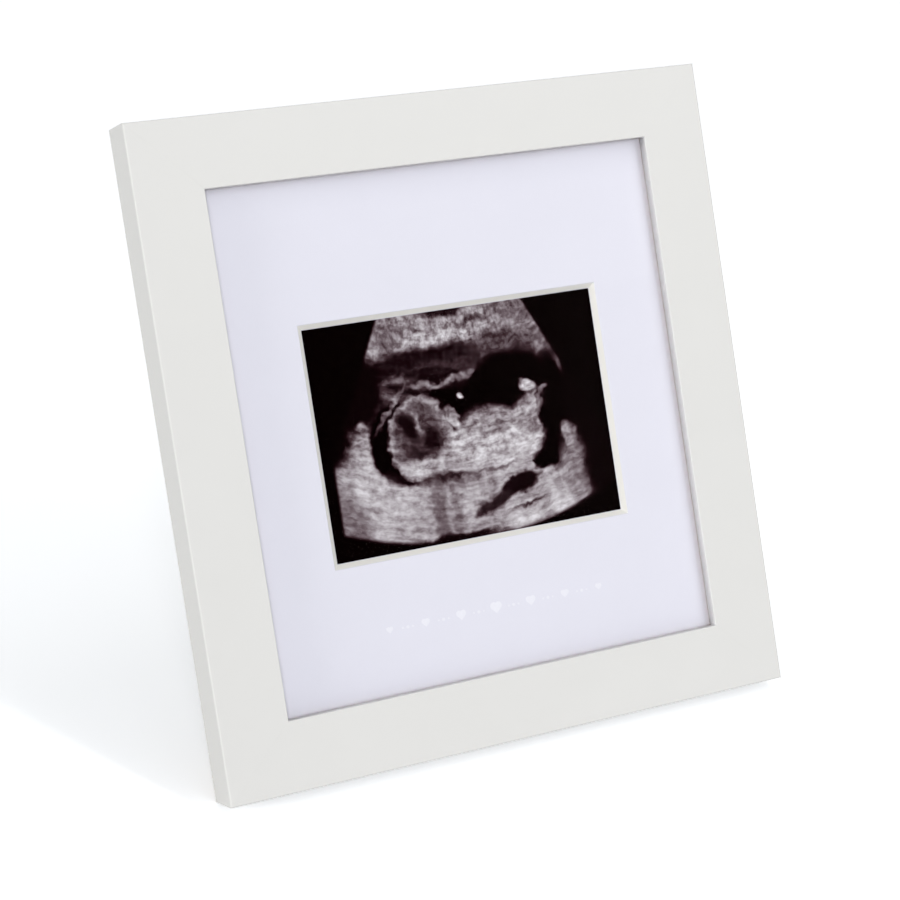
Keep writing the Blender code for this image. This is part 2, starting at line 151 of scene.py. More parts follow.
@dataclass(frozen=True)
class Extent:
    """The lowest and highest corners of some pieces, in the setting that they are modelled in."""

    low: Vector
    high: Vector

    @property
    def middle(self) -> Vector:
        """The centre of the extent."""
        return (self.low + self.high) / 2

    @property
    def size(self) -> Vector:
        """How far the extent reaches each way."""
        return self.high - self.low

    def seated(self, left: float = TOUCH) -> "Extent":
        """The same box, its front moved up to the piece before it, apart from a gap that is left."""
        return Extent(self.low - Vector((0, SEAT_GAP - left, 0)), self.high)


@dataclass(frozen=True)
class Setting:
    """A frame that pieces are modelled in, as the matrix that takes it to where the model stands."""

    matrix: Matrix

    def inward(self, point: Sequence[float]) -> Vector:
        """A point of the standing model, in this setting."""
        return self.matrix.inverted() @ Vector(point)

    def inward_direction(self, direction: Sequence[float]) -> Vector:
        """A direction of the standing model, in this setting."""
        return self.matrix.to_3x3().inverted() @ Vector(direction)

    def extent(self, *nodes: str) -> Extent:
        """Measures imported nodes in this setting.

        Args:
            nodes: The names of the nodes.

        Returns:
            The box that holds them all.
        """
        back = self.matrix.inverted()
        points = [back @ vert.co for node in nodes for vert in frame["nodes"][node].data.vertices]
        low = Vector(min(point[axis] for point in points) for axis in range(3))
        high = Vector(max(point[axis] for point in points) for axis in range(3))
        return Extent(low, high)


def joint(name: str) -> dict:
    """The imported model's joint of that name."""
    return next(entry for entry in frame["joints"] if entry["name"] == name)


def leaning_setting() -> Setting:
    """Finds the picture frame's own setting.

    Returns:
        The setting, from the lean of the turn buttons and the place of the rails.
    """
    axis = joint("turn_left_lower")["axis"]
    turn = Matrix.Rotation(math.atan2(axis[2], axis[1]), 4, "X")
    low = Setting(turn).extent(*RAILS).low
    return Setting(turn @ Matrix.Translation((0, low.y, low.z)))


def swinging_setting(leaning: Setting) -> Setting:
    """Finds the strut's own setting, folded round the hinge pin.

    Args:
        leaning: The picture frame's setting.

    Returns:
        The setting in which the strut lies along the back.
    """
    fold = joint("strut_fold")
    opening = Matrix.Rotation(math.radians(fold["range_deg"][1]), 4, "X")
    return Setting(leaning.matrix @ Matrix.Translation(leaning.inward(fold["pos_m"])) @ opening)


def dome(radius: float, rim: float, height: float, steps: int, tip: float) -> list[Ring]:
    """The rings of a rounded head, from its rim upwards.

    Args:
        radius: The rim's radius.
        rim: The rim's height.
        height: How far the dome rises above its rim.
        steps: How many rings it has below the top one.
        tip: The radius of the top ring.

    Returns:
        The rings, as (radius, height).
    """
    turns = [QUARTER_TURN * step / steps for step in range(steps)]
    rings = [(radius * math.cos(turn), rim + height * math.sin(turn)) for turn in turns]
    return [*rings, (tip, rim + height)]


class Blank:
    """A piece in the making, shaped with Blender's own operators."""

    def __init__(self, name: str) -> None:
        """Takes the object that was just added.

        Args:
            name: The piece's name.
        """
        self.obj = bpy.context.object
        self.obj.name = name
        self.obj.data.name = name

    @classmethod
    def block(cls, name: str, low: Sequence[float], high: Sequence[float]) -> "Blank":
        """Adds a rectangular block.

        Args:
            name: The piece's name.
            low: Its lowest corner.
            high: Its highest corner.

        Returns:
            The block.
        """
        box = Extent(Vector(low), Vector(high))
        bpy.ops.object.select_all(action="DESELECT")
        bpy.ops.mesh.primitive_cube_add(size=1, location=box.middle, scale=box.size)
        made = cls(name)
        made.apply_place()
        return made

    @classmethod
    def sheet(
        cls, name: str, middle: Sequence[float], width: float, height: float, columns: int = 1
    ) -> "Blank":
        """Adds an upright sheet without thickness, facing along the depth.

        Args:
            name: The piece's name.
            middle: Its centre.
            width: Its width.
            height: Its height.
            columns: How many faces it has across.

        Returns:
            The sheet.
        """
        bpy.ops.object.select_all(action="DESELECT")
        bpy.ops.mesh.primitive_grid_add(
            x_subdivisions=columns,
            y_subdivisions=1,
            size=1,
            location=middle,
            rotation=(QUARTER_TURN, 0, 0),
        )
        made = cls(name)
        made.obj.scale = (width, height, 1)
        made.apply_place()
        return made

    @classmethod
    def turned(cls, name: str, profile: Sequence[Ring], steps: int = 40) -> "Blank":
        """Draws a round piece about z upwards, ring by ring.

        Args:
            name: The piece's name.
            profile: Its rings as (radius, height), from the lowest to the highest.
            steps: How many sides each ring has.

        Returns:
            The closed round piece.
        """
        radius, height = profile[0]
        bpy.ops.object.select_all(action="DESELECT")
        bpy.ops.mesh.primitive_circle_add(
            vertices=steps, radius=radius, fill_type="NGON", location=(0, 0, height)
        )
        made = cls(name)
        made.apply_place()
        with made.editing():
            made.pick(Element.FACE, lambda place, normal: True)
            for wider, higher in profile[1:]:
                made.extrude((0, 0, higher - height))
                share = wider / radius
                made.resize((share, share, 1), (0, 0, higher))
                radius, height = wider, higher
            made.close_up()
        return made

    @classmethod
    def merged_copy(cls, name: str, setting: Setting, *nodes: str) -> "Blank":
        """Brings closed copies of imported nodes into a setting, as one piece.

        Args:
            name: The piece's name.
            setting: The setting that it is worked on in.
            nodes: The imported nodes.

        Returns:
            The copies, joined.
        """
        bpy.ops.object.select_all(action="DESELECT")
        for node in nodes:
            double = bpy.data.objects.new(name, frame["nodes"][node].data.copy())
            bpy.context.scene.collection.objects.link(double)
            double.data.transform(setting.matrix.inverted())
            double.select_set(True)
            bpy.context.view_layer.objects.active = double
        bpy.ops.object.join()
        made = cls(name)
        with made.editing():
            made.close_up(turn_faces=False)
        return made

    def copy(self, name: str) -> "Blank":
        """Makes a second piece of the same shape, with its own mesh.

        Args:
            name: The second piece's name.

        Returns:
            The second piece.
        """
        self.focus()
        bpy.ops.object.duplicate(linked=False)
        return Blank(name)

    def discard(self) -> None:
        """Takes the piece out of the scene."""
        bpy.data.objects.remove(self.obj, do_unlink=True)

    def focus(self) -> None:
        """Makes this the only selected object, and the active one."""
        bpy.ops.object.select_all(action="DESELECT")
        self.obj.select_set(True)
        bpy.context.view_layer.objects.active = self.obj

    def apply_place(self) -> None:
        """Moves the object's place, turn and scale into its mesh."""
        self.focus()
        bpy.ops.object.transform_apply(location=True, rotation=True, scale=True)

    @contextmanager
    def editing(self) -> Iterator[None]:
        """Edit mode, with nothing selected at first."""
        self.focus()
        bpy.ops.object.mode_set(mode="EDIT")
        bpy.ops.mesh.select_all(action="DESELECT")
        yield
        bpy.ops.object.mode_set(mode="OBJECT")

    def pick(self, element: Element, test: Test) -> int:
        """Selects what passes a test, and nothing else, in edit mode.

        Args:
            element: Whether vertices, edges or faces are picked.
            test: Takes a place and a direction: a face's middle and normal, an edge's middle and
                direction, or a vertex's place and normal.

        Returns:
            How many are picked.
        """
        bpy.ops.mesh.select_mode(type=element.value)
        bpy.ops.mesh.select_all(action="DESELECT")
        work = bmesh.from_edit_mesh(self.obj.data)
        if element is Element.FACE:
            found = [face for face in work.faces if test(face.calc_center_median(), face.normal)]
        elif element is Element.EDGE:
            found = []
            for edge in work.edges:
                start, end = (vert.co for vert in edge.verts)
                if test((start + end) / 2, (end - start).normalized()):
                    found.append(edge)
        else:
            found = [vert for vert in work.verts if test(vert.co, vert.normal)]
        for item in found:
            item.select_set(True)
        work.select_flush_mode()
        bmesh.update_edit_mesh(self.obj.data)
        return len(found)

    def close_up(self, turn_faces: bool = True) -> None:
        """Merges doubled points, in edit mode.

        Args:
            turn_faces: Whether every face is turned outwards as well.
        """
        bpy.ops.mesh.select_all(action="SELECT")
        bpy.ops.mesh.remove_doubles(threshold=DOUBLED)
        if turn_faces:
            bpy.ops.mesh.normals_make_consistent(inside=False)
        bpy.ops.mesh.select_all(action="DESELECT")

    def slice(self, point: Sequence[float], normal: Sequence[float], keep_all: bool = False) -> None:
        """Cuts the whole piece by a plane, in edit mode.

        Args:
            point: A point on the plane.
            normal: The side that is cut away.
            keep_all: Whether the plane only draws new edges.
        """
        bpy.ops.mesh.select_all(action="SELECT")
        bpy.ops.mesh.bisect(
            plane_co=point,
            plane_no=normal,
            use_fill=not keep_all,
            clear_outer=not keep_all,
            threshold=DOUBLED / 10,
        )
        bpy.ops.mesh.select_all(action="DESELECT")

    def extrude(self, value: Sequence[float]) -> None:
        """Draws the picked faces out, in edit mode."""
        bpy.ops.mesh.extrude_region_move(TRANSFORM_OT_translate={"value": value})

    def shift(self, value: Sequence[float]) -> None:
        """Moves what is picked, in edit mode."""
        bpy.ops.transform.translate(value=value)

    def resize(self, value: Sequence[float], centre: Sequence[float]) -> None:
        """Resizes what is picked about a point, in edit mode."""
        bpy.ops.transform.resize(value=value, center_override=centre)

    def round_edges(self, width: float, segments: int, test: Test) -> None:
        """Rounds the edges that pass a test, in edit mode."""
        if self.pick(Element.EDGE, test):
            bpy.ops.mesh.bevel(offset=width, segments=segments, profile=0.5, affect="EDGES")

    def modify(self, kind: str, **settings: object) -> None:
        """Adds a modifier, sets it and applies it.

        Args:
            kind: The modifier's type.
            settings: Its settings, by name.
        """
        self.focus()
        modifier = self.obj.modifiers.new(kind.lower(), kind)
        for name, value in settings.items():
            setattr(modifier, name, value)
        bpy.ops.object.modifier_apply(modifier=modifier.name)

    def meet(self, meeting: Meeting, others: Sequence["Blank"]) -> None:
        """Welds or cuts with other blanks, and uses them up.

        Args:
            meeting: Whether it is welded or cut.
            others: The other blanks.
        """
        for other in others:
            self.modify("BOOLEAN", operation=meeting.value, object=other.obj, solver="EXACT")
            other.discard()

    def cut(self, *tools: "Blank") -> None:
        """Takes other blanks out of this one."""
        self.meet(Meeting.CUT, tools)

    def fuse(self, *others: "Blank") -> None:
        """Welds other blanks into this one."""
        self.meet(Meeting.WELD, others)

    def drill(self, profile: Sequence[Ring], place: Sequence[float]) -> None:
        """Drills a round hole along the depth.

        Args:
            profile: The drill's rings, as (radius, depth).
            place: Where the drill's origin goes.
        """
        hole = Blank.turned("drill", profile, HOLE_STEPS)
        hole.lay(place, ALONG_DEPTH)
        self.cut(hole)

    def join(self, *others: "Blank") -> None:
        """Takes other blanks into this piece, each as a closed form of its own.

        Args:
            others: The other blanks.
        """
        self.focus()
        for other in others:
            other.obj.select_set(True)
        bpy.ops.object.join()

    def soften(self, width: float, segments: int = 2) -> None:
        """Rounds every sharp edge.

        Args:
            width: How far from the edge the rounding starts.
            segments: How many faces it has.
        """
        self.modify(
            "BEVEL",
            width=width,
            segments=segments,
            limit_method="ANGLE",
            angle_limit=SHARP_ANGLE,
            use_clamp_overlap=True,
        )

    def lay(
        self,
        place: Sequence[float] = (0, 0, 0),
        turn: Sequence[float] = (0, 0, 0),
        scale: Sequence[float] = (1, 1, 1),
    ) -> None:
        """Scales the piece and turns it about the origin, then moves it, all in its setting.

        Args:
            place: Where the origin goes.
            turn: The turn about x, y and z.
            scale: How much larger it becomes each way.
        """
        self.obj.location = place
        self.obj.rotation_euler = turn
        self.obj.scale = scale
        self.apply_place()

    def finish(
        self,
        setting: Setting,
        material: bpy.types.Material,
        slot: str,
        *nodes: str,
        body: Body = Body.FRAME,
    ) -> None:
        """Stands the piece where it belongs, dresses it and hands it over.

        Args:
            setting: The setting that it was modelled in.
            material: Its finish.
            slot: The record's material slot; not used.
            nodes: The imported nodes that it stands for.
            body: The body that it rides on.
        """
        self.obj.matrix_world = setting.matrix
        self.apply_place()
        bpy.ops.object.shade_smooth_by_angle(angle=SMOOTH_ANGLE)
        self.modify("WEIGHTED_NORMAL", keep_sharp=True)
        self.obj.data.materials.clear()
        self.obj.data.materials.append(material)
        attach(self.obj, body.value)
        if nodes:
            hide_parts(*nodes)
        log.info("%s: %d faces, rides on %s", self.obj.name, len(self.obj.data.polygons), body.value)


def dress_node(node: str, material: bpy.types.Material) -> None:
    """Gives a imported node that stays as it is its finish.

    Args:
        node: The node's name.
        material: Its finish.
    """
    data = frame["nodes"][node].data
    data.materials.clear()
    data.materials.append(material)
    log.info("%s: packed node, dressed", node)


class Signal:
    """What a shader works out at each point. Numbers can be used in plain arithmetic."""

    def __init__(self, recipe: "Recipe", socket: bpy.types.NodeSocket) -> None:
        """Wraps an output socket of a recipe's node."""
        self.recipe = recipe
        self.socket = socket

    def output(self, name: str) -> "Signal":
        """Another output of the same node."""
        return Signal(self.recipe, self.socket.node.outputs[name])

    def maths(self, operation: str, first: "Value", second: "Value" = 0.0) -> "Signal":
        """A Math node."""
        return self.recipe.node("ShaderNodeMath", {0: first, 1: second}, operation=operation)

    def __add__(self, other: "Value") -> "Signal":
        """The sum."""
        return self.maths("ADD", self, other)

    __radd__ = __add__

    def __sub__(self, other: "Value") -> "Signal":
        """The difference."""
        return self.maths("SUBTRACT", self, other)

    def __rsub__(self, other: "Value") -> "Signal":
        """The difference, the other way round."""
        return self.maths("SUBTRACT", other, self)

    def __mul__(self, other: "Value") -> "Signal":
        """The product."""
        return self.maths("MULTIPLY", self, other)

    __rmul__ = __mul__

    def __abs__(self) -> "Signal":
        """The size without its sign."""
        return self.maths("ABSOLUTE", self)

    def least(self, other: "Value") -> "Signal":
        """The smaller of two."""
        return self.maths("MINIMUM", self, other)

    def most(self, other: "Value") -> "Signal":
        """The larger of two."""
        return self.maths("MAXIMUM", self, other)


Value = Signal | float | Sequence[float]


@dataclass(frozen=True)
class Noise:
    """Smooth noise: its cells a millimetre, its detail, and how much it is squeezed each way."""

    scale: float
    detail: float = 2.0
    roughness: float = 0.5
    squeeze: tuple[float, float, float] | None = None


class Recipe:
    """The nodes of one material or of the world."""

    def __init__(self, tree: bpy.types.NodeTree) -> None:
        """Starts from the tree that the nodes go into."""
        self.tree = tree

    @classmethod
    def for_material(cls, name: str) -> "Recipe":
        """Starts a new material, with its shader at hand.

        Args:
            name: The material's name.

        Returns:
            The material's recipe.
        """
        made = bpy.data.materials.new(name)
        made.use_nodes = True
        recipe = cls(made.node_tree)
        recipe.material = made
        recipe.shader = made.node_tree.nodes["Principled BSDF"]
        return recipe

    def node(
        self,
        kind: str,
        inputs: dict | None = None,
        output: int | str = 0,
        stops: Sequence[tuple[float, Colour]] = (),
        **settings: object,
    ) -> Signal:
        """Adds a node.

        Args:
            kind: The node's type.
            inputs: A value or a signal for each input, by its number or name.
            output: Which output is returned.
            stops: A ramp's stops, each as (place, colour).
            settings: The node's other settings, which are set before its inputs.

        Returns:
            The signal of the chosen output.
        """
        made = self.tree.nodes.new(kind)
        for name, value in settings.items():
            setattr(made, name, value)
        for number, (place, colour) in enumerate(stops):
            elements = made.color_ramp.elements
            stop = elements[number] if number < len(elements) else elements.new(1.0)
            stop.position = place
            stop.color = colour
        for name, value in (inputs or {}).items():
            self.feed(made.inputs[name], value)
        return Signal(self, made.outputs[output])

    def feed(self, socket: bpy.types.NodeSocket, value: Value) -> None:
        """Links a signal to an input, or sets its value.

        Args:
            socket: The input.
            value: The signal or the value.
        """
        if isinstance(value, Signal):
            self.tree.links.new(value.socket, socket)
        else:
            socket.default_value = value

    def shade(self, **values: Value) -> bpy.types.Material:
        """Feeds the shader's inputs and hands the material over.

        Args:
            values: A value or a signal for each input, named with _ for a space.

        Returns:
            The material.
        """
        for name, value in values.items():
            self.feed(self.shader.inputs[name.replace("_", " ")], value)
        return self.material

    def surface(self, signal: Signal, output: str = "Material Output") -> None:
        """Makes a signal the surface that is shown."""
        self.feed(self.tree.nodes[output].inputs["Surface"], signal)

    def bench(self, setting: Setting) -> Signal:
        """Reads the place in a piece's own setting.

        Args:
            setting: The setting that the piece is modelled in.

        Returns:
            The place in millimetres, as a vector.
        """
        inputs = {
            "Vector": self.node("ShaderNodeTexCoord", output="Object"),
            "Location": setting.matrix.translation,
            "Rotation": setting.matrix.to_euler(),
            "Scale": (MM, MM, MM),
        }
        return self.node("ShaderNodeMapping", inputs, vector_type="TEXTURE")

    def split(self, vector: Signal) -> tuple[Signal, Signal, Signal]:
        """The three parts of a vector."""
        first = self.node("ShaderNodeSeparateXYZ", {0: vector}, output="X")
        return first, first.output("Y"), first.output("Z")

    def combine(self, x: Value, y: Value, z: Value = 0.0) -> Signal:
        """A vector of three numbers."""
        return self.node("ShaderNodeCombineXYZ", {0: x, 1: y, 2: z})

    def vectors(self, operation: str, first: Value, second: Value, output: str = "Vector") -> Signal:
        """A Vector Math node."""
        return self.node("ShaderNodeVectorMath", {0: first, 1: second}, output, operation=operation)

    def length(self, vector: Signal) -> Signal:
        """A vector's length."""
        return self.vectors("LENGTH", vector, (0.0, 0.0, 0.0), "Value")

    def stretch(self, vector: Signal, scale: Sequence[float]) -> Signal:
        """A vector with each part multiplied."""
        return self.vectors("MULTIPLY", vector, scale)

    def noise(self, place: Signal, noise: Noise, output: str = "Fac") -> Signal:
        """Adds smooth noise.

        Args:
            place: Where it is read, as a vector.
            noise: What it is like.
            output: Fac for a number from 0 to 1, or Color for three of them.

        Returns:
            The noise.
        """
        inputs = {
            "Vector": self.stretch(place, noise.squeeze) if noise.squeeze else place,
            "Scale": noise.scale,
            "Detail": noise.detail,
            "Roughness": noise.roughness,
        }
        return self.node("ShaderNodeTexNoise", inputs, output)

    def between(
        self, value: Value, start: float, end: float, low: float = 0.0, high: float = 1.0
    ) -> Signal:
        """A smooth step from low to high as the value goes from start to end."""
        inputs = {0: value, 1: start, 2: end, 3: low, 4: high}
        return self.node("ShaderNodeMapRange", inputs, interpolation_type="SMOOTHSTEP")

    def core(self, depth: Signal, board: Extent, facing: float, blur: float) -> Signal:
        """Tells a faced board's core from its facings.

        Args:
            depth: The depth in the board's setting, in millimetres.
            board: The board's extent, whose depth runs from face to face.
            facing: How thick each facing is, in millimetres.
            blur: How wide the change is, in millimetres.

        Returns:
            1 in the core and 0 in the facings.
        """
        front = board.low.y / MM + facing
        back = board.high.y / MM - facing
        return self.between(depth, front, front + blur) * self.between(depth, back, back - blur)

    def blend(self, share: Value, first: Value, second: Value) -> Signal:
        """A number between two numbers."""
        return self.node("ShaderNodeMix", {0: share, 2: first, 3: second}, 0, data_type="FLOAT")

    def mix(self, share: Value, first: Value, second: Value) -> Signal:
        """A colour between two colours."""
        return self.node("ShaderNodeMix", {0: share, 6: first, 7: second}, 2, data_type="RGBA")

    def tint(self, colour: Colour, darkest: float, lightest: float, share: Value) -> Signal:
        """A colour that goes from a darker to a lighter shade of itself."""
        return self.mix(share, scaled(colour, darkest), scaled(colour, lightest))

    def bump(self, height: Value, distance: float, strength: float) -> Signal:
        """A bumped normal, from a height of 0 to 1 and the metres that 1 stands for."""
        inputs = {"Height": height, "Distance": distance, "Strength": strength}
        return self.node("ShaderNodeBump", inputs)

    def mix_shaders(self, share: Value, first: Signal, second: Signal) -> Signal:
        """Two shaders mixed."""
        return self.node("ShaderNodeMixShader", {0: share, 1: first, 2: second})


@dataclass(frozen=True)
class SatinWrap:
    """Satin off-white wrap on the moulding's face, sides and lip, and bare brown board behind."""

    white: Colour = (0.712, 0.711, 0.703, 1.0)
    board: Colour = paint(190, 160, 124)
    roughness: float = 0.48
    wrap_end: float = 0.35
    rebate_start: float = 0.12
    edge_blur: float = 0.05
    ragged: Noise = Noise(0.9, 3.0, 0.6)
    fibre: Noise = Noise(2.2, 5.0, 0.75, (1, 3, 1))
    dust: Noise = Noise(0.05)
    peel: Noise = Noise(1.6, 3.0, 0.6)

    def material(self, setting: Setting, moulding: "Moulding") -> bpy.types.Material:
        """Makes the finish.

        Args:
            setting: The picture frame's setting.
            moulding: The moulding, whose sizes say where the wrap ends.

        Returns:
            The material.
        """
        recipe = Recipe.for_material("satin_wrap")
        place = recipe.bench(setting)
        across, depth, height = recipe.split(place)
        half_size = moulding.outer.size / 2 / MM
        from_side = half_size.x - abs(across)
        from_end = half_size.z - abs(height - half_size.z)
        uneven = recipe.noise(place, self.ragged) * 0.5 - 0.25
        back = moulding.outer.high.y / MM - self.wrap_end
        behind = recipe.between(depth + uneven, back, back + self.edge_blur)
        rebate = moulding.rebate_inset / MM - self.rebate_start
        lip_back = moulding.lip_thickness / MM - self.edge_blur
        past_lip = recipe.between(depth, lip_back - self.edge_blur, lip_back)
        inside = recipe.between(from_side.least(from_end), rebate, rebate + self.edge_blur) * past_lip
        bare = behind.most(inside)
        fibres = recipe.noise(place, self.fibre)
        dust = recipe.noise(place, self.dust)
        board = recipe.tint(self.board, 0.72, 1.22, fibres)
        wrap = recipe.tint(self.white, 0.985, 1.015, dust)
        grain = recipe.blend(bare, recipe.noise(place, self.peel) * 0.06, fibres)
        return recipe.shade(
            Base_Color=recipe.mix(bare, wrap, board),
            Roughness=recipe.blend(bare, self.roughness - 0.05 + dust * 0.1, 0.9),
            Specular_IOR_Level=0.35,
            Normal=recipe.bump(grain, 0.12 * MM, 0.5),
        )


@dataclass(frozen=True)
class ClearGlass:
    """Clear picture glass with an anti-reflection coat, so that it shows no veil over the print."""

    tint: Colour = (0.99, 1.0, 0.995, 1.0)
    reflection: Colour = (0.001, 0.001, 0.001, 1.0)

    def material(self) -> bpy.types.Material:
        """Makes the finish, which lets the lamps' and the sky's light through straight.

        Returns:
            The material.
        """
        recipe = Recipe.for_material("clear_glass")
        clear = recipe.node("ShaderNodeBsdfTransparent", {0: WHITE})
        path = recipe.node("ShaderNodeLightPath", output="Is Shadow Ray")
        glass = Signal(recipe, recipe.shader.outputs[0])
        seen = recipe.mix_shaders(path.output("Is Diffuse Ray"), glass, clear)
        recipe.surface(recipe.mix_shaders(path, seen, clear))
        return recipe.shade(
            Base_Color=self.tint,
            Roughness=0.0,
            IOR=1.5,
            Transmission_Weight=1.0,
            Specular_Tint=self.reflection,
        )


@dataclass(frozen=True)
class MatPaper:
    """Cool white facing paper on both faces of the mat, and the cream core that its bevel shows."""

    paper: Colour = (0.752, 0.745, 0.842, 1.0)
    cream: Colour = (0.80, 0.782, 0.758, 1.0)
    paper_thickness: float = 0.14
    tooth: Noise = Noise(2.4, 4.0, 0.65)
    cloud: Noise = Noise(0.06)
    fibre: Noise = Noise(1.5, 4.0, 0.7, (1, 6, 1))

    def material(self, setting: Setting, board: Extent) -> bpy.types.Material:
        """Makes the finish.

        Args:
            setting: The picture frame's setting.
            board: The mat's extent.

        Returns:
            The material.
        """
        recipe = Recipe.for_material("mat_paper")
        place = recipe.bench(setting)
        core = recipe.core(recipe.split(place)[1], board, self.paper_thickness, 0.03)
        paper = recipe.tint(self.paper, 0.985, 1.01, recipe.noise(place, self.cloud))
        cream = recipe.tint(self.cream, 0.94, 1.02, recipe.noise(place, self.fibre))
        return recipe.shade(
            Base_Color=recipe.mix(core, paper, cream),
            Roughness=0.86,
            Specular_IOR_Level=0.2,
            Normal=recipe.bump(recipe.noise(place, self.tooth), 0.05 * MM, 0.5),
        )


@dataclass(frozen=True)
class WhiteFoil:
    """Satin white foil, stamped on the mat."""

    white: Colour = (0.806, 0.80, 0.885, 1.0)
    press: Noise = Noise(1.1, 3.0, 0.6)

    def material(self, setting: Setting) -> bpy.types.Material:
        """Makes the finish, with the slight unevenness that the mat's paper gives the foil.

        Args:
            setting: The picture frame's setting.

        Returns:
            The material.
        """
        recipe = Recipe.for_material("white_foil")
        press = recipe.noise(recipe.bench(setting), self.press)
        return recipe.shade(
            Base_Color=recipe.tint(self.white, 0.97, 1.02, press),
            Roughness=0.32 + press * 0.12,
            Normal=recipe.bump(press, 0.04 * MM, 0.4),
        )


@dataclass(frozen=True)
class KraftCard:
    """Brown kraft paper, with fibres."""

    brown: Colour = paint(176, 138, 96)
    fibre: Noise = Noise(1.8, 5.0, 0.75, (0.6, 1, 3.2))

    def material(self, setting: Setting) -> bpy.types.Material:
        """Makes the finish.

        Args:
            setting: The picture frame's setting.

        Returns:
            The material.
        """
        recipe = Recipe.for_material("kraft_card")
        fibres = recipe.noise(recipe.bench(setting), self.fibre)
        return recipe.shade(
            Base_Color=recipe.tint(self.brown, 0.75, 1.15, fibres),
            Roughness=0.92,
            Normal=recipe.bump(fibres, 0.08 * MM, 0.6),
        )


@dataclass(frozen=True)
class BlackFacedBoard:
    """Brown fibreboard with matt black paper on both faces."""

    black: Colour = paint(43, 43, 45)
    board: Colour = paint(128, 98, 68)
    paper_thickness: float = 0.3
    ragged: Noise = Noise(1.4, 3.0, 0.6)
    fibre: Noise = Noise(2.0, 5.0, 0.75, (1, 5, 1))
    pore: Noise = Noise(3.0, 4.0, 0.7)
    rub: Noise = Noise(0.09, 5.0, 0.7)

    def material(self, name: str, setting: Setting, board: Extent) -> bpy.types.Material:
        """Makes the finish for one board.

        Args:
            name: The material's name.
            setting: The setting that the board is modelled in.
            board: The board's extent, whose depth runs from face to face.

        Returns:
            The material.
        """
        recipe = Recipe.for_material(name)
        place = recipe.bench(setting)
        depth = recipe.split(place)[1] + (recipe.noise(place, self.ragged) * 0.3 - 0.15)
        sawn = recipe.core(depth, board, self.paper_thickness, 0.04)
        fibres = recipe.noise(place, self.fibre)
        pores = recipe.noise(place, self.pore)
        rub = recipe.between(recipe.noise(place, self.rub), 0.52, 0.78)
        black = recipe.mix(rub * 0.5, recipe.tint(self.black, 0.8, 1.25, pores), scaled(self.black, 1.7))
        return recipe.shade(
            Base_Color=recipe.mix(sawn, black, recipe.tint(self.board, 0.6, 1.2, fibres)),
            Roughness=recipe.blend(sawn, 0.66 - rub * 0.12, 0.93),
            Specular_IOR_Level=0.35,
            Normal=recipe.bump(recipe.blend(sawn, pores * 0.6, fibres), 0.1 * MM, 0.6),
        )


@dataclass(frozen=True)
class PlatedSteel:
    """Steel with a bright plating, faint clouds in it and fine scratches."""

    name: str
    colour: Colour
    shadow: Colour
    roughness: float
    scratches: float
    cloud: Noise = Noise(0.22, 4.0, 0.65)
    scratch: Noise = Noise(1.6, 4.0, 0.7, (0.35, 2.0, 5.0))
    spangle_scale: float = 0.55

    def material(self, setting: Setting) -> bpy.types.Material:
        """Makes the finish.

        Args:
            setting: The setting that the pieces are modelled in.

        Returns:
            The material.
        """
        recipe = Recipe.for_material(self.name)
        place = recipe.bench(setting)
        cloud = recipe.between(recipe.noise(place, self.cloud), 0.35, 0.7)
        fine = recipe.noise(place, self.scratch)
        cells = {"Vector": place, "Scale": self.spangle_scale}
        spangle = recipe.split(recipe.node("ShaderNodeTexVoronoi", cells, "Color"))[0]
        return recipe.shade(
            Base_Color=recipe.mix(cloud, self.shadow, self.colour),
            Metallic=1.0,
            Roughness=self.roughness + fine * self.scratches + spangle * 0.06,
            Normal=recipe.bump(fine, 0.02 * MM, 0.35),
        )


ZINC = PlatedSteel("zinc_plate", (0.66, 0.66, 0.67, 1.0), (0.55, 0.56, 0.58, 1.0), 0.24, 0.22)
NICKEL = PlatedSteel("nickel_plate", (0.70, 0.68, 0.63, 1.0), (0.60, 0.58, 0.54, 1.0), 0.14, 0.12)


@dataclass(frozen=True)
class Metals:
    """The two platings, as the pieces of one setting wear them."""

    zinc: bpy.types.Material
    nickel: bpy.types.Material

    @classmethod
    def within(cls, setting: Setting) -> "Metals":
        """The platings for the pieces of a setting."""
        return cls(ZINC.material(setting), NICKEL.material(setting))


@dataclass(frozen=True)
class Patch:
    """A soft oval of tissue or fluid in the scan, in millimetres from the window's centre."""

    name: str
    centre: tuple[float, float]
    radii: tuple[float, float]
    level: float
    turn: float = 0.0
    softness: float = 0.12
    share: float = 1.0


@dataclass(frozen=True)
class Texture:
    """One grain of the scan's echoes: its noise across and along the beam, its range and its contrast."""

    noise: Noise
    low: float
    high: float
    contrast: float


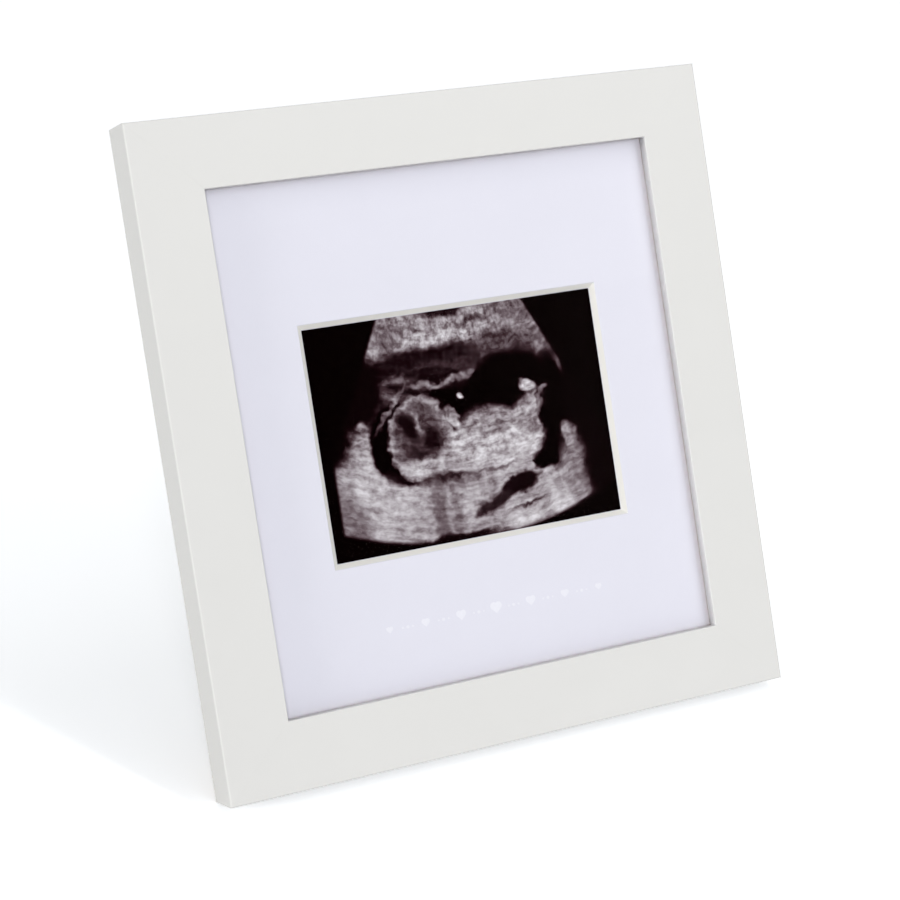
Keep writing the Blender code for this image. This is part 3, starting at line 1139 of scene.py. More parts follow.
@dataclass(frozen=True)
class ScanPrint:
    """A generic twelve-week scan on glossy paper: a fan of speckled echoes on black."""

    apex_height: float = 85.0
    half_angle: float = math.radians(26.4)
    arc_end: tuple[float, float] = (122.0, 120.0)
    left_cut: float = -45.0
    side_blur: float = 0.012
    cut_blur: float = 0.8
    beam_scale: float = 100.0
    tissue: float = 0.66
    roughness: float = 0.3
    sway: Noise = Noise(0.16)
    ripple: Noise = Noise(0.55)
    sway_reach: tuple[float, float, float] = (5.0, 5.0, 0.0)
    ripple_reach: tuple[float, float, float] = (2.0, 1.7, 0.0)
    wave_reach: tuple[float, float, float] = (2.0, 2.6, 0.0)
    gain: Noise = Noise(1.0, squeeze=(0.24, 0.06, 1.0))
    textures: tuple[Texture, ...] = (
        Texture(Noise(1.0, squeeze=(0.42, 0.62, 1.0)), 0.28, 0.72, 0.40),
        Texture(Noise(1.0, 1.0, squeeze=(0.13, 0.55, 1.0)), 0.3, 0.7, 0.32),
        Texture(Noise(1.0, 1.0, squeeze=(0.9, 1.5, 1.0)), 0.3, 0.7, 0.10),
    )
    fade: tuple[float, float, float, float] = (88.0, 108.0, 1.1, 0.75)
    gain_contrast: float = 0.6
    tones: tuple[tuple[float, Colour], ...] = (
        (0.0, paint(4, 1, 1)),
        (0.10, paint(19, 5, 8)),
        (0.25, paint(60, 43, 48)),
        (0.45, paint(113, 100, 106)),
        (0.66, paint(163, 155, 161)),
        (1.0, paint(220, 216, 222)),
    )
    patches: tuple[Patch, ...] = (
        Patch("near_layers", (0.0, 31.0), (26.0, 8.0), 0.58, softness=0.4),
        Patch("near_dark_spot", (-1.5, 35.3), (7.5, 1.8), 0.12, softness=0.5),
        Patch("near_dark_line", (6.5, 31.4), (6.5, 0.7), 0.32, 8.0, 0.8),
        Patch("near_dark_line_left", (-13.0, 31.0), (6.0, 0.6), 0.38, -9.0, 0.8),
        Patch("near_bright_layer", (-3.0, 27.5), (19.0, 2.4), 0.70, softness=0.6),
        Patch("near_dim_left", (-23.0, 30.0), (4.5, 6.0), 0.42, softness=0.6),
        Patch("near_dim_right", (21.0, 33.0), (8.0, 3.5), 0.40, -20.0, 0.6),
        Patch("muscle", (-9.0, 20.2), (24.0, 5.0), 0.11, -1.0, 0.3),
        Patch("muscle_light", (-6.0, 18.0), (11.0, 2.4), 0.27, 2.0, 0.8),
        Patch("muscle_right", (17.0, 23.0), (11.5, 5.0), 0.30, -4.0, 0.5),
        Patch("muscle_rim", (31.0, 21.0), (7.0, 2.2), 0.42, -52.0, 0.6),
        Patch("dark_left", (-38.0, 15.0), (13.5, 13.0), 0.03, 0.0, 0.25),
        Patch("dark_left_edge", (-46.0, 1.5), (7.5, 8.5), 0.02, -25.0, 0.3),
        Patch("muscle_low", (-12.0, 15.0), (14.5, 4.6), 0.10, -3.0, 0.25),
        Patch("fluid_above", (14.5, 11.4), (16.0, 8.6), 0.0, 14.0, 0.2),
        Patch("fluid_right", (30.6, 0.0), (5.6, 18.0), 0.0, -2.0, 0.16),
        Patch("fluid_corner", (26.2, -13.2), (5.6, 4.6), 0.0, 20.0, 0.16),
        Patch("dark_right", (44.5, 4.0), (10.5, 18.5), 0.01, 0.0, 0.14),
        Patch("dark_right_low", (49.0, -18.0), (11.5, 18.0), 0.02, 0.0, 0.3),
        Patch("dark_right_corner", (45.0, -37.5), (12.5, 9.5), 0.01, 0.0, 0.12),
        Patch("fluid_centre", (-5.0, 5.5), (8.5, 7.8), 0.0, 0.0, 0.2),
        Patch("fluid_left", (-19.5, -2.6), (13.4, 13.6), 0.0, -6.0, 0.10),
        Patch("membrane", (-24.0, 8.6), (7.5, 0.7), 0.46, 50.0, 0.8),
        Patch("wall_echo_left", (-20.5, 16.4), (4.5, 0.8), 0.40, 2.0, 0.9),
        Patch("wall_echo_middle", (-11.5, 13.6), (5.2, 0.9), 0.55, -12.0, 0.9),
        Patch("wall_echo_right", (-4.0, 13.4), (5.5, 0.9), 0.56, 8.0, 0.9),
        Patch("wall_echo_end", (2.0, 14.9), (4.0, 1.0), 0.42, 26.0, 0.9),
        Patch("bright_spot_left", (-34.4, 4.4), (1.6, 1.1), 0.75, -20.0, 0.7),
        Patch("head", (-15.7, -2.5), (10.8, 13.0), 0.64, 0.0, 0.08),
        Patch("brain", (-15.9, -1.4), (8.6, 10.2), 0.30, 0.0, 0.25),
        Patch("midline", (-15.0, 0.5), (1.0, 8.0), 0.60, 28.0, 0.7),
        Patch("hollow_left", (-19.2, 2.0), (2.6, 4.6), 0.08, 24.0, 0.45),
        Patch("hollow_right", (-12.0, -3.5), (2.4, 4.0), 0.10, 20.0, 0.45),
        Patch("hollow_low", (-17.0, -7.0), (3.4, 1.8), 0.14, -18.0, 0.5),
        Patch("skull_base", (-15.5, -11.6), (6.6, 2.8), 0.74, -8.0, 0.5),
        Patch("neck", (-3.5, -9.0), (6.0, 6.4), 0.62, 0.0, 0.25),
        Patch("body", (10.2, -6.6), (16.0, 9.2), 0.76, -2.0, 0.10),
        Patch("chest", (8.0, -0.4), (10.0, 4.2), 0.56, -2.0, 0.4),
        Patch("knee", (20.8, -2.2), (4.6, 3.0), 0.52, -35.0, 0.4),
        Patch("arm", (-3.9, 2.0), (1.7, 3.8), 0.66, 22.0, 0.4),
        Patch("cord_dot", (-0.6, 8.5), (1.2, 1.3), 0.90, 0.0, 0.6),
        Patch("foot", (22.4, 8.2), (2.6, 1.6), 0.88, -16.0, 0.6),
        Patch("toe", (27.4, 6.9), (1.4, 1.0), 0.60, 30.0, 0.7),
        Patch("shin", (26.0, 2.6), (1.0, 3.4), 0.50, -18.0, 0.8),
        Patch("bed_shadow", (-7.5, -16.4), (8.6, 1.7), 0.10, -1.0, 0.6),
        Patch("bed_line", (6.0, -15.6), (10.0, 0.6), 0.44, 6.0, 0.8),
        Patch("far_bright_left", (-33.0, -20.5), (9.5, 8.0), 0.74, 0.0, 0.5),
        Patch("far_dim_middle", (-7.0, -28.0), (9.5, 9.0), 0.56, 0.0, 0.6),
        Patch("far_dim_right", (34.5, -21.0), (3.2, 9.0), 0.50, 8.0, 0.6),
        Patch("far_dim_left", (-41.5, -23.0), (4.5, 9.0), 0.46, 14.0, 0.6),
        Patch("bone_shadow_left", (-12.6, -26.0), (2.0, 10.5), 0.34, 2.5, 0.6, 0.85),
        Patch("bone_shadow_right", (-7.8, -26.0), (1.3, 9.0), 0.42, 1.5, 0.7, 0.7),
        Patch("far_bright_middle", (-2.6, -24.0), (3.0, 7.0), 0.70, 0.0, 0.6),
        Patch("fluid_slot", (15.0, -21.5), (7.6, 2.7), 0.06, 16.0, 0.28),
        Patch("fluid_slot_tail", (5.6, -26.0), (7.2, 2.2), 0.14, 22.0, 0.45),
        Patch("far_line", (17.0, -28.0), (5.5, 0.6), 0.24, 10.0, 0.8),
        Patch("far_bright_right", (23.0, -32.0), (10.0, 3.6), 0.80, 14.0, 0.6),
        Patch("wedge_tip", (34.0, -9.0), (1.8, 4.2), 0.62, 6.0, 0.5),
        Patch("far_dark_edge", (-10.0, -35.8), (17.0, 1.9), 0.05, 1.0, 0.5),
    )

    def echo_level(self, recipe: Recipe, place: Signal) -> Signal:
        """How strongly each point of the section echoes, patch over patch.

        Args:
            recipe: The material's recipe.
            place: Millimetres from the window's centre, with ragged edges.

        Returns:
            The level, 0 to 1.
        """
        level: Value = self.tissue
        for patch in self.patches:
            inputs = {
                "Vector": place,
                "Location": (*patch.centre, 0.0),
                "Rotation": (0.0, 0.0, math.radians(patch.turn)),
                "Scale": (*patch.radii, 1.0),
            }
            oval = recipe.node("ShaderNodeMapping", inputs, vector_type="TEXTURE", label=patch.name)
            outer, inner = 1.0 + patch.softness, 1.0 - patch.softness
            mask = recipe.between(recipe.length(oval), outer, inner, 0.0, patch.share)
            level = recipe.blend(mask, level, patch.level)
        return level

    def moved(self, recipe: Recipe, place: Signal, noise: Signal, reach: Sequence[float]) -> Signal:
        """Each point moved by noise, at most by half of the reach each way."""
        centred = recipe.vectors("SUBTRACT", noise, (0.5, 0.5, 0.5))
        return recipe.vectors("ADD", place, recipe.stretch(centred, reach))

    def polar(self, recipe: Recipe, place: Signal) -> tuple[Signal, Signal]:
        """Finds where a point lies in the fan.

        Args:
            recipe: The material's recipe.
            place: The point.

        Returns:
            Its angle, and its distance from the fan's apex.
        """
        across, height, _ = recipe.split(place)
        below = self.apex_height - height
        angle = recipe.node("ShaderNodeMath", {0: across, 1: below}, operation="ARCTAN2")
        return angle, recipe.length(recipe.combine(across, below))

    def material(self, setting: Setting, window_centre: Vector) -> bpy.types.Material:
        """Makes the finish.

        Args:
            setting: The picture frame's setting.
            window_centre: The middle of the mat's window.

        Returns:
            The material.
        """
        recipe = Recipe.for_material("scan_print")
        across, _, height = recipe.split(recipe.bench(setting))
        from_middle = across - window_centre.x / MM
        flat = recipe.combine(from_middle, height - window_centre.z / MM)
        sway = recipe.noise(flat, self.sway, "Color")
        ripple = recipe.noise(flat, self.ripple, "Color")

        angle, radius = self.polar(recipe, flat)
        side, blur = self.half_angle, self.side_blur
        fan = recipe.between(abs(angle), side + blur, side - blur)
        arc = recipe.between(radius, *self.arc_end)
        cut = recipe.between(from_middle, self.left_cut - self.cut_blur, self.left_cut + self.cut_blur)
        inside = fan * arc * cut

        waved_angle, waved_radius = self.polar(recipe, self.moved(recipe, flat, sway, self.wave_reach))
        beam = recipe.combine(waved_angle * self.beam_scale, waved_radius)
        contrast: Value = 0.0
        for texture in self.textures:
            echoes = recipe.between(recipe.noise(beam, texture.noise), texture.low, texture.high)
            contrast = contrast + (echoes - 0.5) * texture.contrast
        contrast = contrast * recipe.between(radius, *self.fade)
        gain = recipe.noise(recipe.combine(angle * self.beam_scale, radius), self.gain)

        swayed = self.moved(recipe, flat, sway, self.sway_reach)
        level = self.echo_level(recipe, self.moved(recipe, swayed, ripple, self.ripple_reach))
        tone = level * (1.0 + contrast + (gain - 0.5) * self.gain_contrast) * inside
        return recipe.shade(
            Base_Color=recipe.node("ShaderNodeValToRGB", {0: tone}, stops=self.tones),
            Roughness=self.roughness,
            Specular_IOR_Level=0.0,
        )


@dataclass(frozen=True)
class SoftLamp:
    """A far and broad lamp, which lights the frame and the floor evenly."""

    name: str
    towards: tuple[float, float, float]
    strength: float
    colour: tuple[float, float, float]
    spread: float = math.radians(24)


@dataclass
class Studio:
    """The camera at the photograph's place, a strip lamp, soft lamps, a white sky and a white floor."""

    camera_place: tuple[float, float, float] = (-0.26947, -0.56693, 0.34042)
    pitch: float = math.radians(-22.140)
    azimuth: float = math.radians(-25.174)
    lens: float = 86.69
    sensor: float = 36.0
    key_height: float = 0.90
    key_aside: float = 0.80
    key_shadow: tuple[float, float, float] = (-0.388, 0.922, 0.0)
    key_size: tuple[float, float] = (0.06, 1.0)
    key_power: float = 1.7
    key_colour: tuple[float, float, float] = (1.0, 0.985, 0.955)
    lamps: tuple[SoftLamp, ...] = (
        SoftLamp("right_lamp", (0.80, -1.30, 0.90), 0.44, (1.0, 0.995, 0.985)),
        SoftLamp("camera_lamp", (-0.45, -1.33, 0.50), 1.19, (1.0, 0.995, 0.985), math.radians(14)),
        SoftLamp("left_lamp", (-1.20, -0.12, 0.35), 1.20, (1.0, 0.985, 0.945)),
        SoftLamp("back_lamp", (0.50, 1.15, 1.00), 0.16, (1.0, 1.0, 1.0)),
    )
    sky_colour: Colour = (0.965, 0.985, 1.0, 1.0)
    sky_strength: float = 0.295
    floor_size: float = 8.0
    floor_seen: Colour = (1.64, 1.68, 1.74, 1.0)
    floor_glow: float = 0.27
    floor_lit: Colour = (0.8, 0.8, 0.8, 1.0)

    def add_camera(self) -> None:
        """Stands the camera where the photograph was taken."""
        turn = (QUARTER_TURN + self.pitch, 0, self.azimuth)
        bpy.ops.object.camera_add(location=self.camera_place, rotation=turn)
        camera = bpy.context.object
        camera.name = "photo_camera"
        camera.data.sensor_width = self.sensor
        camera.data.lens = self.lens
        bpy.context.scene.camera = camera

    def hang(self, kind: LampKind, name: str, place: Vector, turn: Euler) -> bpy.types.Object:
        """Hangs a lamp.

        Args:
            kind: Which kind it is.
            name: Its name.
            place: Where it hangs.
            turn: How it is turned; it shines along its own -z.

        Returns:
            The lamp.
        """
        bpy.ops.object.light_add(type=kind.value, location=place, rotation=turn)
        lamp = bpy.context.object
        lamp.name = name
        return lamp

    def add_key(self, setting: Setting) -> None:
        """Hangs a strip lamp to the front right, along the left edge, so that the shadow is sharp.

        Args:
            setting: The picture frame's setting.
        """
        rails = setting.extent("rail_left")
        corner = setting.matrix @ Vector((rails.low.x, rails.high.y, 0))
        up_edge = setting.matrix.to_3x3() @ Vector((0, 0, 1))
        place = corner + up_edge * self.key_height - Vector(self.key_shadow) * self.key_aside
        facing = (place - corner).normalized()
        across = up_edge.cross(facing).normalized()
        turn = Matrix((across, facing.cross(across), facing)).transposed().to_euler()
        lamp = self.hang(LampKind.PANEL, "strip_key", place, turn)
        lamp.visible_camera = False
        lamp.data.shape = "RECTANGLE"
        lamp.data.size, lamp.data.size_y = self.key_size
        lamp.data.energy = self.key_power
        lamp.data.color = self.key_colour

    def add_soft_lamp(self, soft: SoftLamp) -> None:
        """Hangs a soft lamp, turned towards the origin.

        Args:
            soft: The lamp.
        """
        place = Vector(soft.towards)
        lamp = self.hang(LampKind.FAR, soft.name, place, place.to_track_quat("Z", "Y").to_euler())
        lamp.data.angle = soft.spread
        lamp.data.energy = soft.strength
        lamp.data.color = soft.colour

    def seen_directly(self, recipe: Recipe) -> Signal:
        """1 for what the camera sees, also mirrored or through glass, and 0 for light on the object."""
        path = recipe.node("ShaderNodeLightPath", output="Is Camera Ray")
        return path.most(path.output("Is Glossy Ray")).most(path.output("Is Transmission Ray"))

    def add_sky(self) -> None:
        """Makes the world white where it is seen, and a plain level where it lights."""
        world = bpy.data.worlds.new("white_sky")
        world.use_nodes = True
        bpy.context.scene.world = world
        recipe = Recipe(world.node_tree)
        lights = recipe.node("ShaderNodeBackground", {0: self.sky_colour, 1: self.sky_strength})
        seen = recipe.node("ShaderNodeBackground", {0: WHITE, 1: 1.0})
        recipe.surface(recipe.mix_shaders(self.seen_directly(recipe), lights, seen), "World Output")

    def add_floor(self) -> None:
        """Lays the floor: white where it is seen, apart from the shadow, and pale grey where it lights."""
        bpy.ops.mesh.primitive_plane_add(size=self.floor_size)
        floor = bpy.context.object
        floor.name = "floor"
        recipe = Recipe.for_material("white_floor")
        lit = recipe.node("ShaderNodeBsdfDiffuse", {0: self.floor_lit})
        shaded = recipe.node("ShaderNodeBsdfDiffuse", {0: self.floor_seen})
        glow = recipe.node("ShaderNodeEmission", {0: WHITE, 1: 1.0})
        seen = recipe.mix_shaders(self.floor_glow, shaded, glow)
        recipe.surface(recipe.mix_shaders(self.seen_directly(recipe), lit, seen))
        floor.data.materials.append(recipe.material)

    def build(self, setting: Setting) -> None:
        """Sets the whole studio up.

        Args:
            setting: The picture frame's setting.
        """
        self.add_camera()
        self.add_key(setting)
        for soft in self.lamps:
            self.add_soft_lamp(soft)
        self.add_sky()
        self.add_floor()
        view = bpy.context.scene.view_settings
        view.view_transform = "Standard"
        log.info("studio: camera, lamps, sky and floor")


@dataclass
class Moulding:
    """The four mitred rails, wrapped in satin white, and the V-nails in their corners."""

    setting: Setting
    metals: Metals
    lip_width: float = 6 * MM
    lip_thickness: float = 3.5 * MM
    outer_rounding: float = 0.6 * MM
    inner_rounding: float = 0.25 * MM
    back_rounding: float = 0.25 * MM
    face_steps: int = 6
    back_steps: int = 3
    mitre_gap: float = 0.01 * MM
    nail_fit: float = 0.06 * MM
    outer: Extent = field(init=False)
    rail: Extent = field(init=False)

    def __post_init__(self) -> None:
        """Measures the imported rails."""
        self.outer = self.setting.extent(*RAILS)
        self.rail = self.setting.extent("rail_bottom")

    @property
    def rebate_inset(self) -> float:
        """How far the rebate's wall is from the frame's outer edge."""
        return self.rail.high.z - self.lip_width

    def model_rail(self, length: float) -> Blank:
        """Models a rail along x, its outer edge at height 0.

        Args:
            length: Its length along the outer edge.

        Returns:
            The mitred rail.
        """
        width, depth = self.rail.high.z, self.outer.high.y
        half = length / 2
        rail = Blank.block("rail", (-half, 0, 0), (half, self.lip_thickness, width))
        edges = (
            (self.outer_rounding, self.face_steps, 0, 0),
            (self.inner_rounding, self.face_steps, 0, width),
            (self.back_rounding, self.back_steps, depth, 0),
        )
        with rail.editing():
            rail.slice((0, 0, self.rebate_inset), (0, 0, 1), keep_all=True)
            rail.pick(Element.FACE, lambda place, way: way.y > FACING and place.z < self.rebate_inset)
            rail.extrude((0, depth - self.lip_thickness, 0))
            rail.close_up()
            reach = half - self.mitre_gap / 2 * math.sqrt(2)
            for side in (-1, 1):
                rail.slice((side * reach, 0, 0), (side, 0, 1))
            rail.close_up()
            for rounding, segments, edge_depth, edge_height in edges:
                rail.round_edges(
                    rounding,
                    segments,
                    lambda place, way: abs(way.x) > FACING
                    and abs(place.y - edge_depth) < TOUCH
                    and abs(place.z - edge_height) < TOUCH,
                )
        return rail

    def model_slots(self) -> Blank:
        """Models all the V-nails' slots.

        Returns:
            The slots, open towards the back.
        """
        slots = Blank.merged_copy("nail_slots", self.setting, *NAILS)
        back = self.setting.extent(*NAILS).high.y
        with slots.editing():
            slots.pick(Element.FACE, lambda place, way: way.y > FACING and place.y > back - TOUCH)
            slots.shift((0, PAST, 0))
            bpy.ops.mesh.select_all(action="SELECT")
            bpy.ops.transform.shrink_fatten(value=self.nail_fit)
        return slots

    def build_pair(
        self, wrap: bpy.types.Material, length: float, places: dict[str, tuple[Sequence[float], float]]
    ) -> None:
        """Builds two rails that face each other, modelled once, with the nails' slots cut.

        Args:
            wrap: Their finish.
            length: Their length.
            places: Where each packed rail's outer edge is, and its turn about the depth.
        """
        model = self.model_rail(length)
        for node, (place, turn) in places.items():
            rail = model.copy(node.replace("rail", "moulding"))
            rail.lay(place, (0, turn, 0))
            rail.cut(self.model_slots())
            rail.finish(self.setting, wrap, "white_moulding", node)
        model.discard()

    def build(self) -> None:
        """Builds the rails and dresses the nails."""
        side = self.outer.high.x
        top = self.outer.high.z
        level = {"rail_bottom": ((0, 0, 0), 0), "rail_top": ((0, 0, top), math.pi)}
        upright = {
            "rail_left": ((-side, 0, top / 2), QUARTER_TURN),
            "rail_right": ((side, 0, top / 2), -QUARTER_TURN),
        }
        wrap = SatinWrap().material(self.setting, self)
        self.build_pair(wrap, 2 * side, level)
        self.build_pair(wrap, top, upright)
        for node in NAILS:
            dress_node(node, self.metals.zinc)


@dataclass
class Glazing:
    """The pane of picture glass, with seamed edges, pressed against the lip."""

    setting: Setting
    seam: float = 0.3 * MM

    def build(self) -> None:
        """Builds the pane."""
        pane = self.setting.extent("glass_pane").seated()
        glass = Blank.block("picture_glass", pane.low, pane.high)
        glass.soften(self.seam, 1)
        glass.finish(self.setting, ClearGlass().material(), "clear_glass", "glass_pane")


@dataclass
class WindowMat:
    """The mat with its bevelled window, and a stamped row of hearts and dots under the window."""

    setting: Setting
    window_width: float = 97.5 * MM
    window_height: float = 71 * MM
    bevel: float = math.radians(45)
    edge_rounding: float = 0.06 * MM
    glass_gap: float = 5 * TOUCH
    row_height: float = 41 * MM
    row_reach: float = 36 * MM
    hearts: int = 7
    heart_size: float = 2.3 * MM
    lobe_steps: int = 32
    dot_radius: float = 0.5 * MM
    dot_steps: int = 24
    dots: tuple[tuple[float, float], ...] = ((0.36, 0.6), (0.5, 1.0), (0.64, 0.6))
    foil_depth: float = 0.06 * MM
    foil_sunk: float = 0.02 * MM
    foil_rounding: float = 0.015 * MM

    @property
    def centre(self) -> Vector:
        """The window's centre, where the print's is too."""
        return self.setting.extent("scan_print").middle

    def model_window(self, board: Extent) -> Blank:
        """Models the block that cuts the window.

        Args:
            board: The mat's extent.

        Returns:
            The block, widest in front.
        """
        half = Vector((self.window_width / 2, 0, self.window_height / 2))
        low = Vector((self.centre.x, board.low.y - PAST, self.centre.z)) - half
        high = Vector((self.centre.x, board.high.y, self.centre.z)) + half
        window = Blank.block("window", low, high)
        spread = 2 * (board.size.y + PAST) * math.tan(self.bevel)
        with window.editing():
            window.pick(Element.FACE, facing(0, -1, 0))
            share = (1 + spread / self.window_width, 1, 1 + spread / self.window_height)
            window.resize(share, self.centre)
            window.pick(Element.FACE, facing(0, 1, 0))
            window.extrude((0, PAST, 0))
        return window

    def model_heart(self) -> Blank:
        """Models a stamped heart at the origin.

        Returns:
            The heart, its front towards -y.
        """
        half = self.heart_size / 2
        heart = Blank.block("heart", (-half, -half, 0), (half, half, self.foil_depth))
        lobe = Blank.turned("lobe", [(half, 0), (half, self.foil_depth)], self.lobe_steps)
        other = lobe.copy("other_lobe")
        lobe.lay((-half, 0, 0))
        other.lay((0, half, 0))
        heart.fuse(lobe, other)
        heart.lay(turn=(0, 0, -QUARTER_TURN / 2))
        heart.lay(turn=(QUARTER_TURN, 0, 0))
        return heart

    def model_dot(self) -> Blank:
        """Models a stamped dot at the origin.

        Returns:
            The dot, its front towards -y.
        """
        rings = [(self.dot_radius, 0), (self.dot_radius, self.foil_depth)]
        dot = Blank.turned("dot", rings, self.dot_steps)
        dot.lay(turn=(QUARTER_TURN, 0, 0))
        return dot

    def build_foil(self, board: Extent) -> None:
        """Builds the stamped row: hearts that grow towards the middle, with dots between them.

        Args:
            board: The mat's extent.
        """
        depth = board.low.y + self.foil_sunk
        last = self.hearts - 1
        step = 2 * self.row_reach / last
        left = self.centre.x - self.row_reach
        shares = [1 - abs(number - last / 2) / self.hearts for number in range(self.hearts)]
        spots = [(number, share) for number, share in enumerate(shares)]
        dots = [(number + offset, share) for number in range(last) for offset, share in self.dots]
        row = []
        for model, stamps in ((self.model_heart(), spots), (self.model_dot(), dots)):
            for steps, share in stamps:
                stamp = model.copy("foil_hearts")
                stamp.lay((left + steps * step, depth, self.row_height), scale=(share, 1, share))
                row.append(stamp)
            model.discard()
        foil, *others = row
        foil.join(*others)
        foil.soften(self.foil_rounding, 1)
        foil.finish(self.setting, WhiteFoil().material(self.setting), "white_mat")

    def build(self) -> None:
        """Builds the mat, pressed against the glass, and its stamped row."""
        board = self.setting.extent("mat_board").seated(self.glass_gap)
        mat = Blank.block("window_mat", board.low, board.high)
        mat.cut(self.model_window(board))
        mat.soften(self.edge_rounding)
        mat.finish(self.setting, MatPaper().material(self.setting, board), "white_mat", "mat_board")
        self.build_foil(board)


@dataclass
class Picture:
    """The ultrasound print behind the window."""

    setting: Setting
    edge: float = 0.04 * MM

    def build(self) -> None:
        """Builds the print, pressed against the mat."""
        packed = self.setting.extent("scan_print")
        sheet = packed.seated()
        print_sheet = Blank.block("ultrasound_print", sheet.low, sheet.high)
        print_sheet.soften(self.edge, 1)
        finish = ScanPrint().material(self.setting, packed.middle)
        print_sheet.finish(self.setting, finish, "glossy_print", "scan_print")


@dataclass
class Backing:
    """The corrugated card behind the print, and the black-faced panel that closes the back."""

    setting: Setting
    liner: float = 0.3 * MM
    flute_pitch: float = 6.3 * MM
    flute_sheet: float = 0.2 * MM
    flute_swell: float = 1.5
    panel_rounding: float = 0.2 * MM
    rivet_sink: float = 2.6 * MM
    rivet_floor: float = 1.0 * MM

    def model_flutes(self, card: Extent) -> Blank:
        """Models the wavy sheet between the liners.

        Args:
            card: The card's extent.

        Returns:
            The wave, from liner to liner.
        """
        flutes = round(card.size.x / self.flute_pitch)
        pitch = card.size.x / flutes
        swing = (card.size.y - 2 * self.liner - self.flute_sheet) / 2 * self.flute_swell
        wave = Blank.sheet("flutes", card.middle, card.size.x, card.size.z, 4 * flutes)
        with wave.editing():
            for phase, side in ((0.25, 1), (0.75, -1)):
                start = card.low.x + (phase - 0.5) * pitch
                wave.pick(
                    Element.VERTEX,
                    lambda place, normal: abs((place.x - start) / pitch % 1 - 0.5) < 0.05,
                )
                wave.shift((0, side * swing, 0))
        wave.modify("SUBSURF", levels=2, render_levels=2)
        wave.modify("SOLIDIFY", thickness=self.flute_sheet, offset=0)
        return wave

    def build_filler(self) -> None:
        """Builds the corrugated card: two liners and the wave between them."""
        card = self.setting.extent("filler_card")
        low, high = card.low, card.high
        filler = Blank.block("corrugated_filler", low, (high.x, low.y + self.liner, high.z))
        back = Blank.block("back_liner", (low.x, high.y - self.liner, low.z), high)
        filler.join(back, self.model_flutes(card))
        filler.finish(self.setting, KraftCard().material(self.setting), "corrugated_card", "filler_card")

    def build_panel(self) -> None:
        """Builds the back panel, with stepped holes for the hinge's rivets."""
        sheet = self.setting.extent("back_panel")
        panel = Blank.block("backing_board", sheet.low, sheet.high)
        panel.soften(self.panel_rounding)
        for node in PLATE_RIVETS:
            rivet = self.setting.extent(node)
            floor = rivet.low.y + self.rivet_floor
            steps = [
                (self.rivet_sink, sheet.low.y - PAST),
                (self.rivet_sink, floor),
                (Rivet.hole, floor),
                (Rivet.hole, sheet.high.y + PAST),
            ]
            panel.drill(steps, (rivet.middle.x, 0, rivet.middle.z))
        black = BlackFacedBoard().material("black_faced_panel", self.setting, sheet)
        panel.finish(self.setting, black, "black_faced_board", "back_panel")

    def build(self) -> None:
        """Builds the card and the panel."""
        self.build_filler()
        self.build_panel()


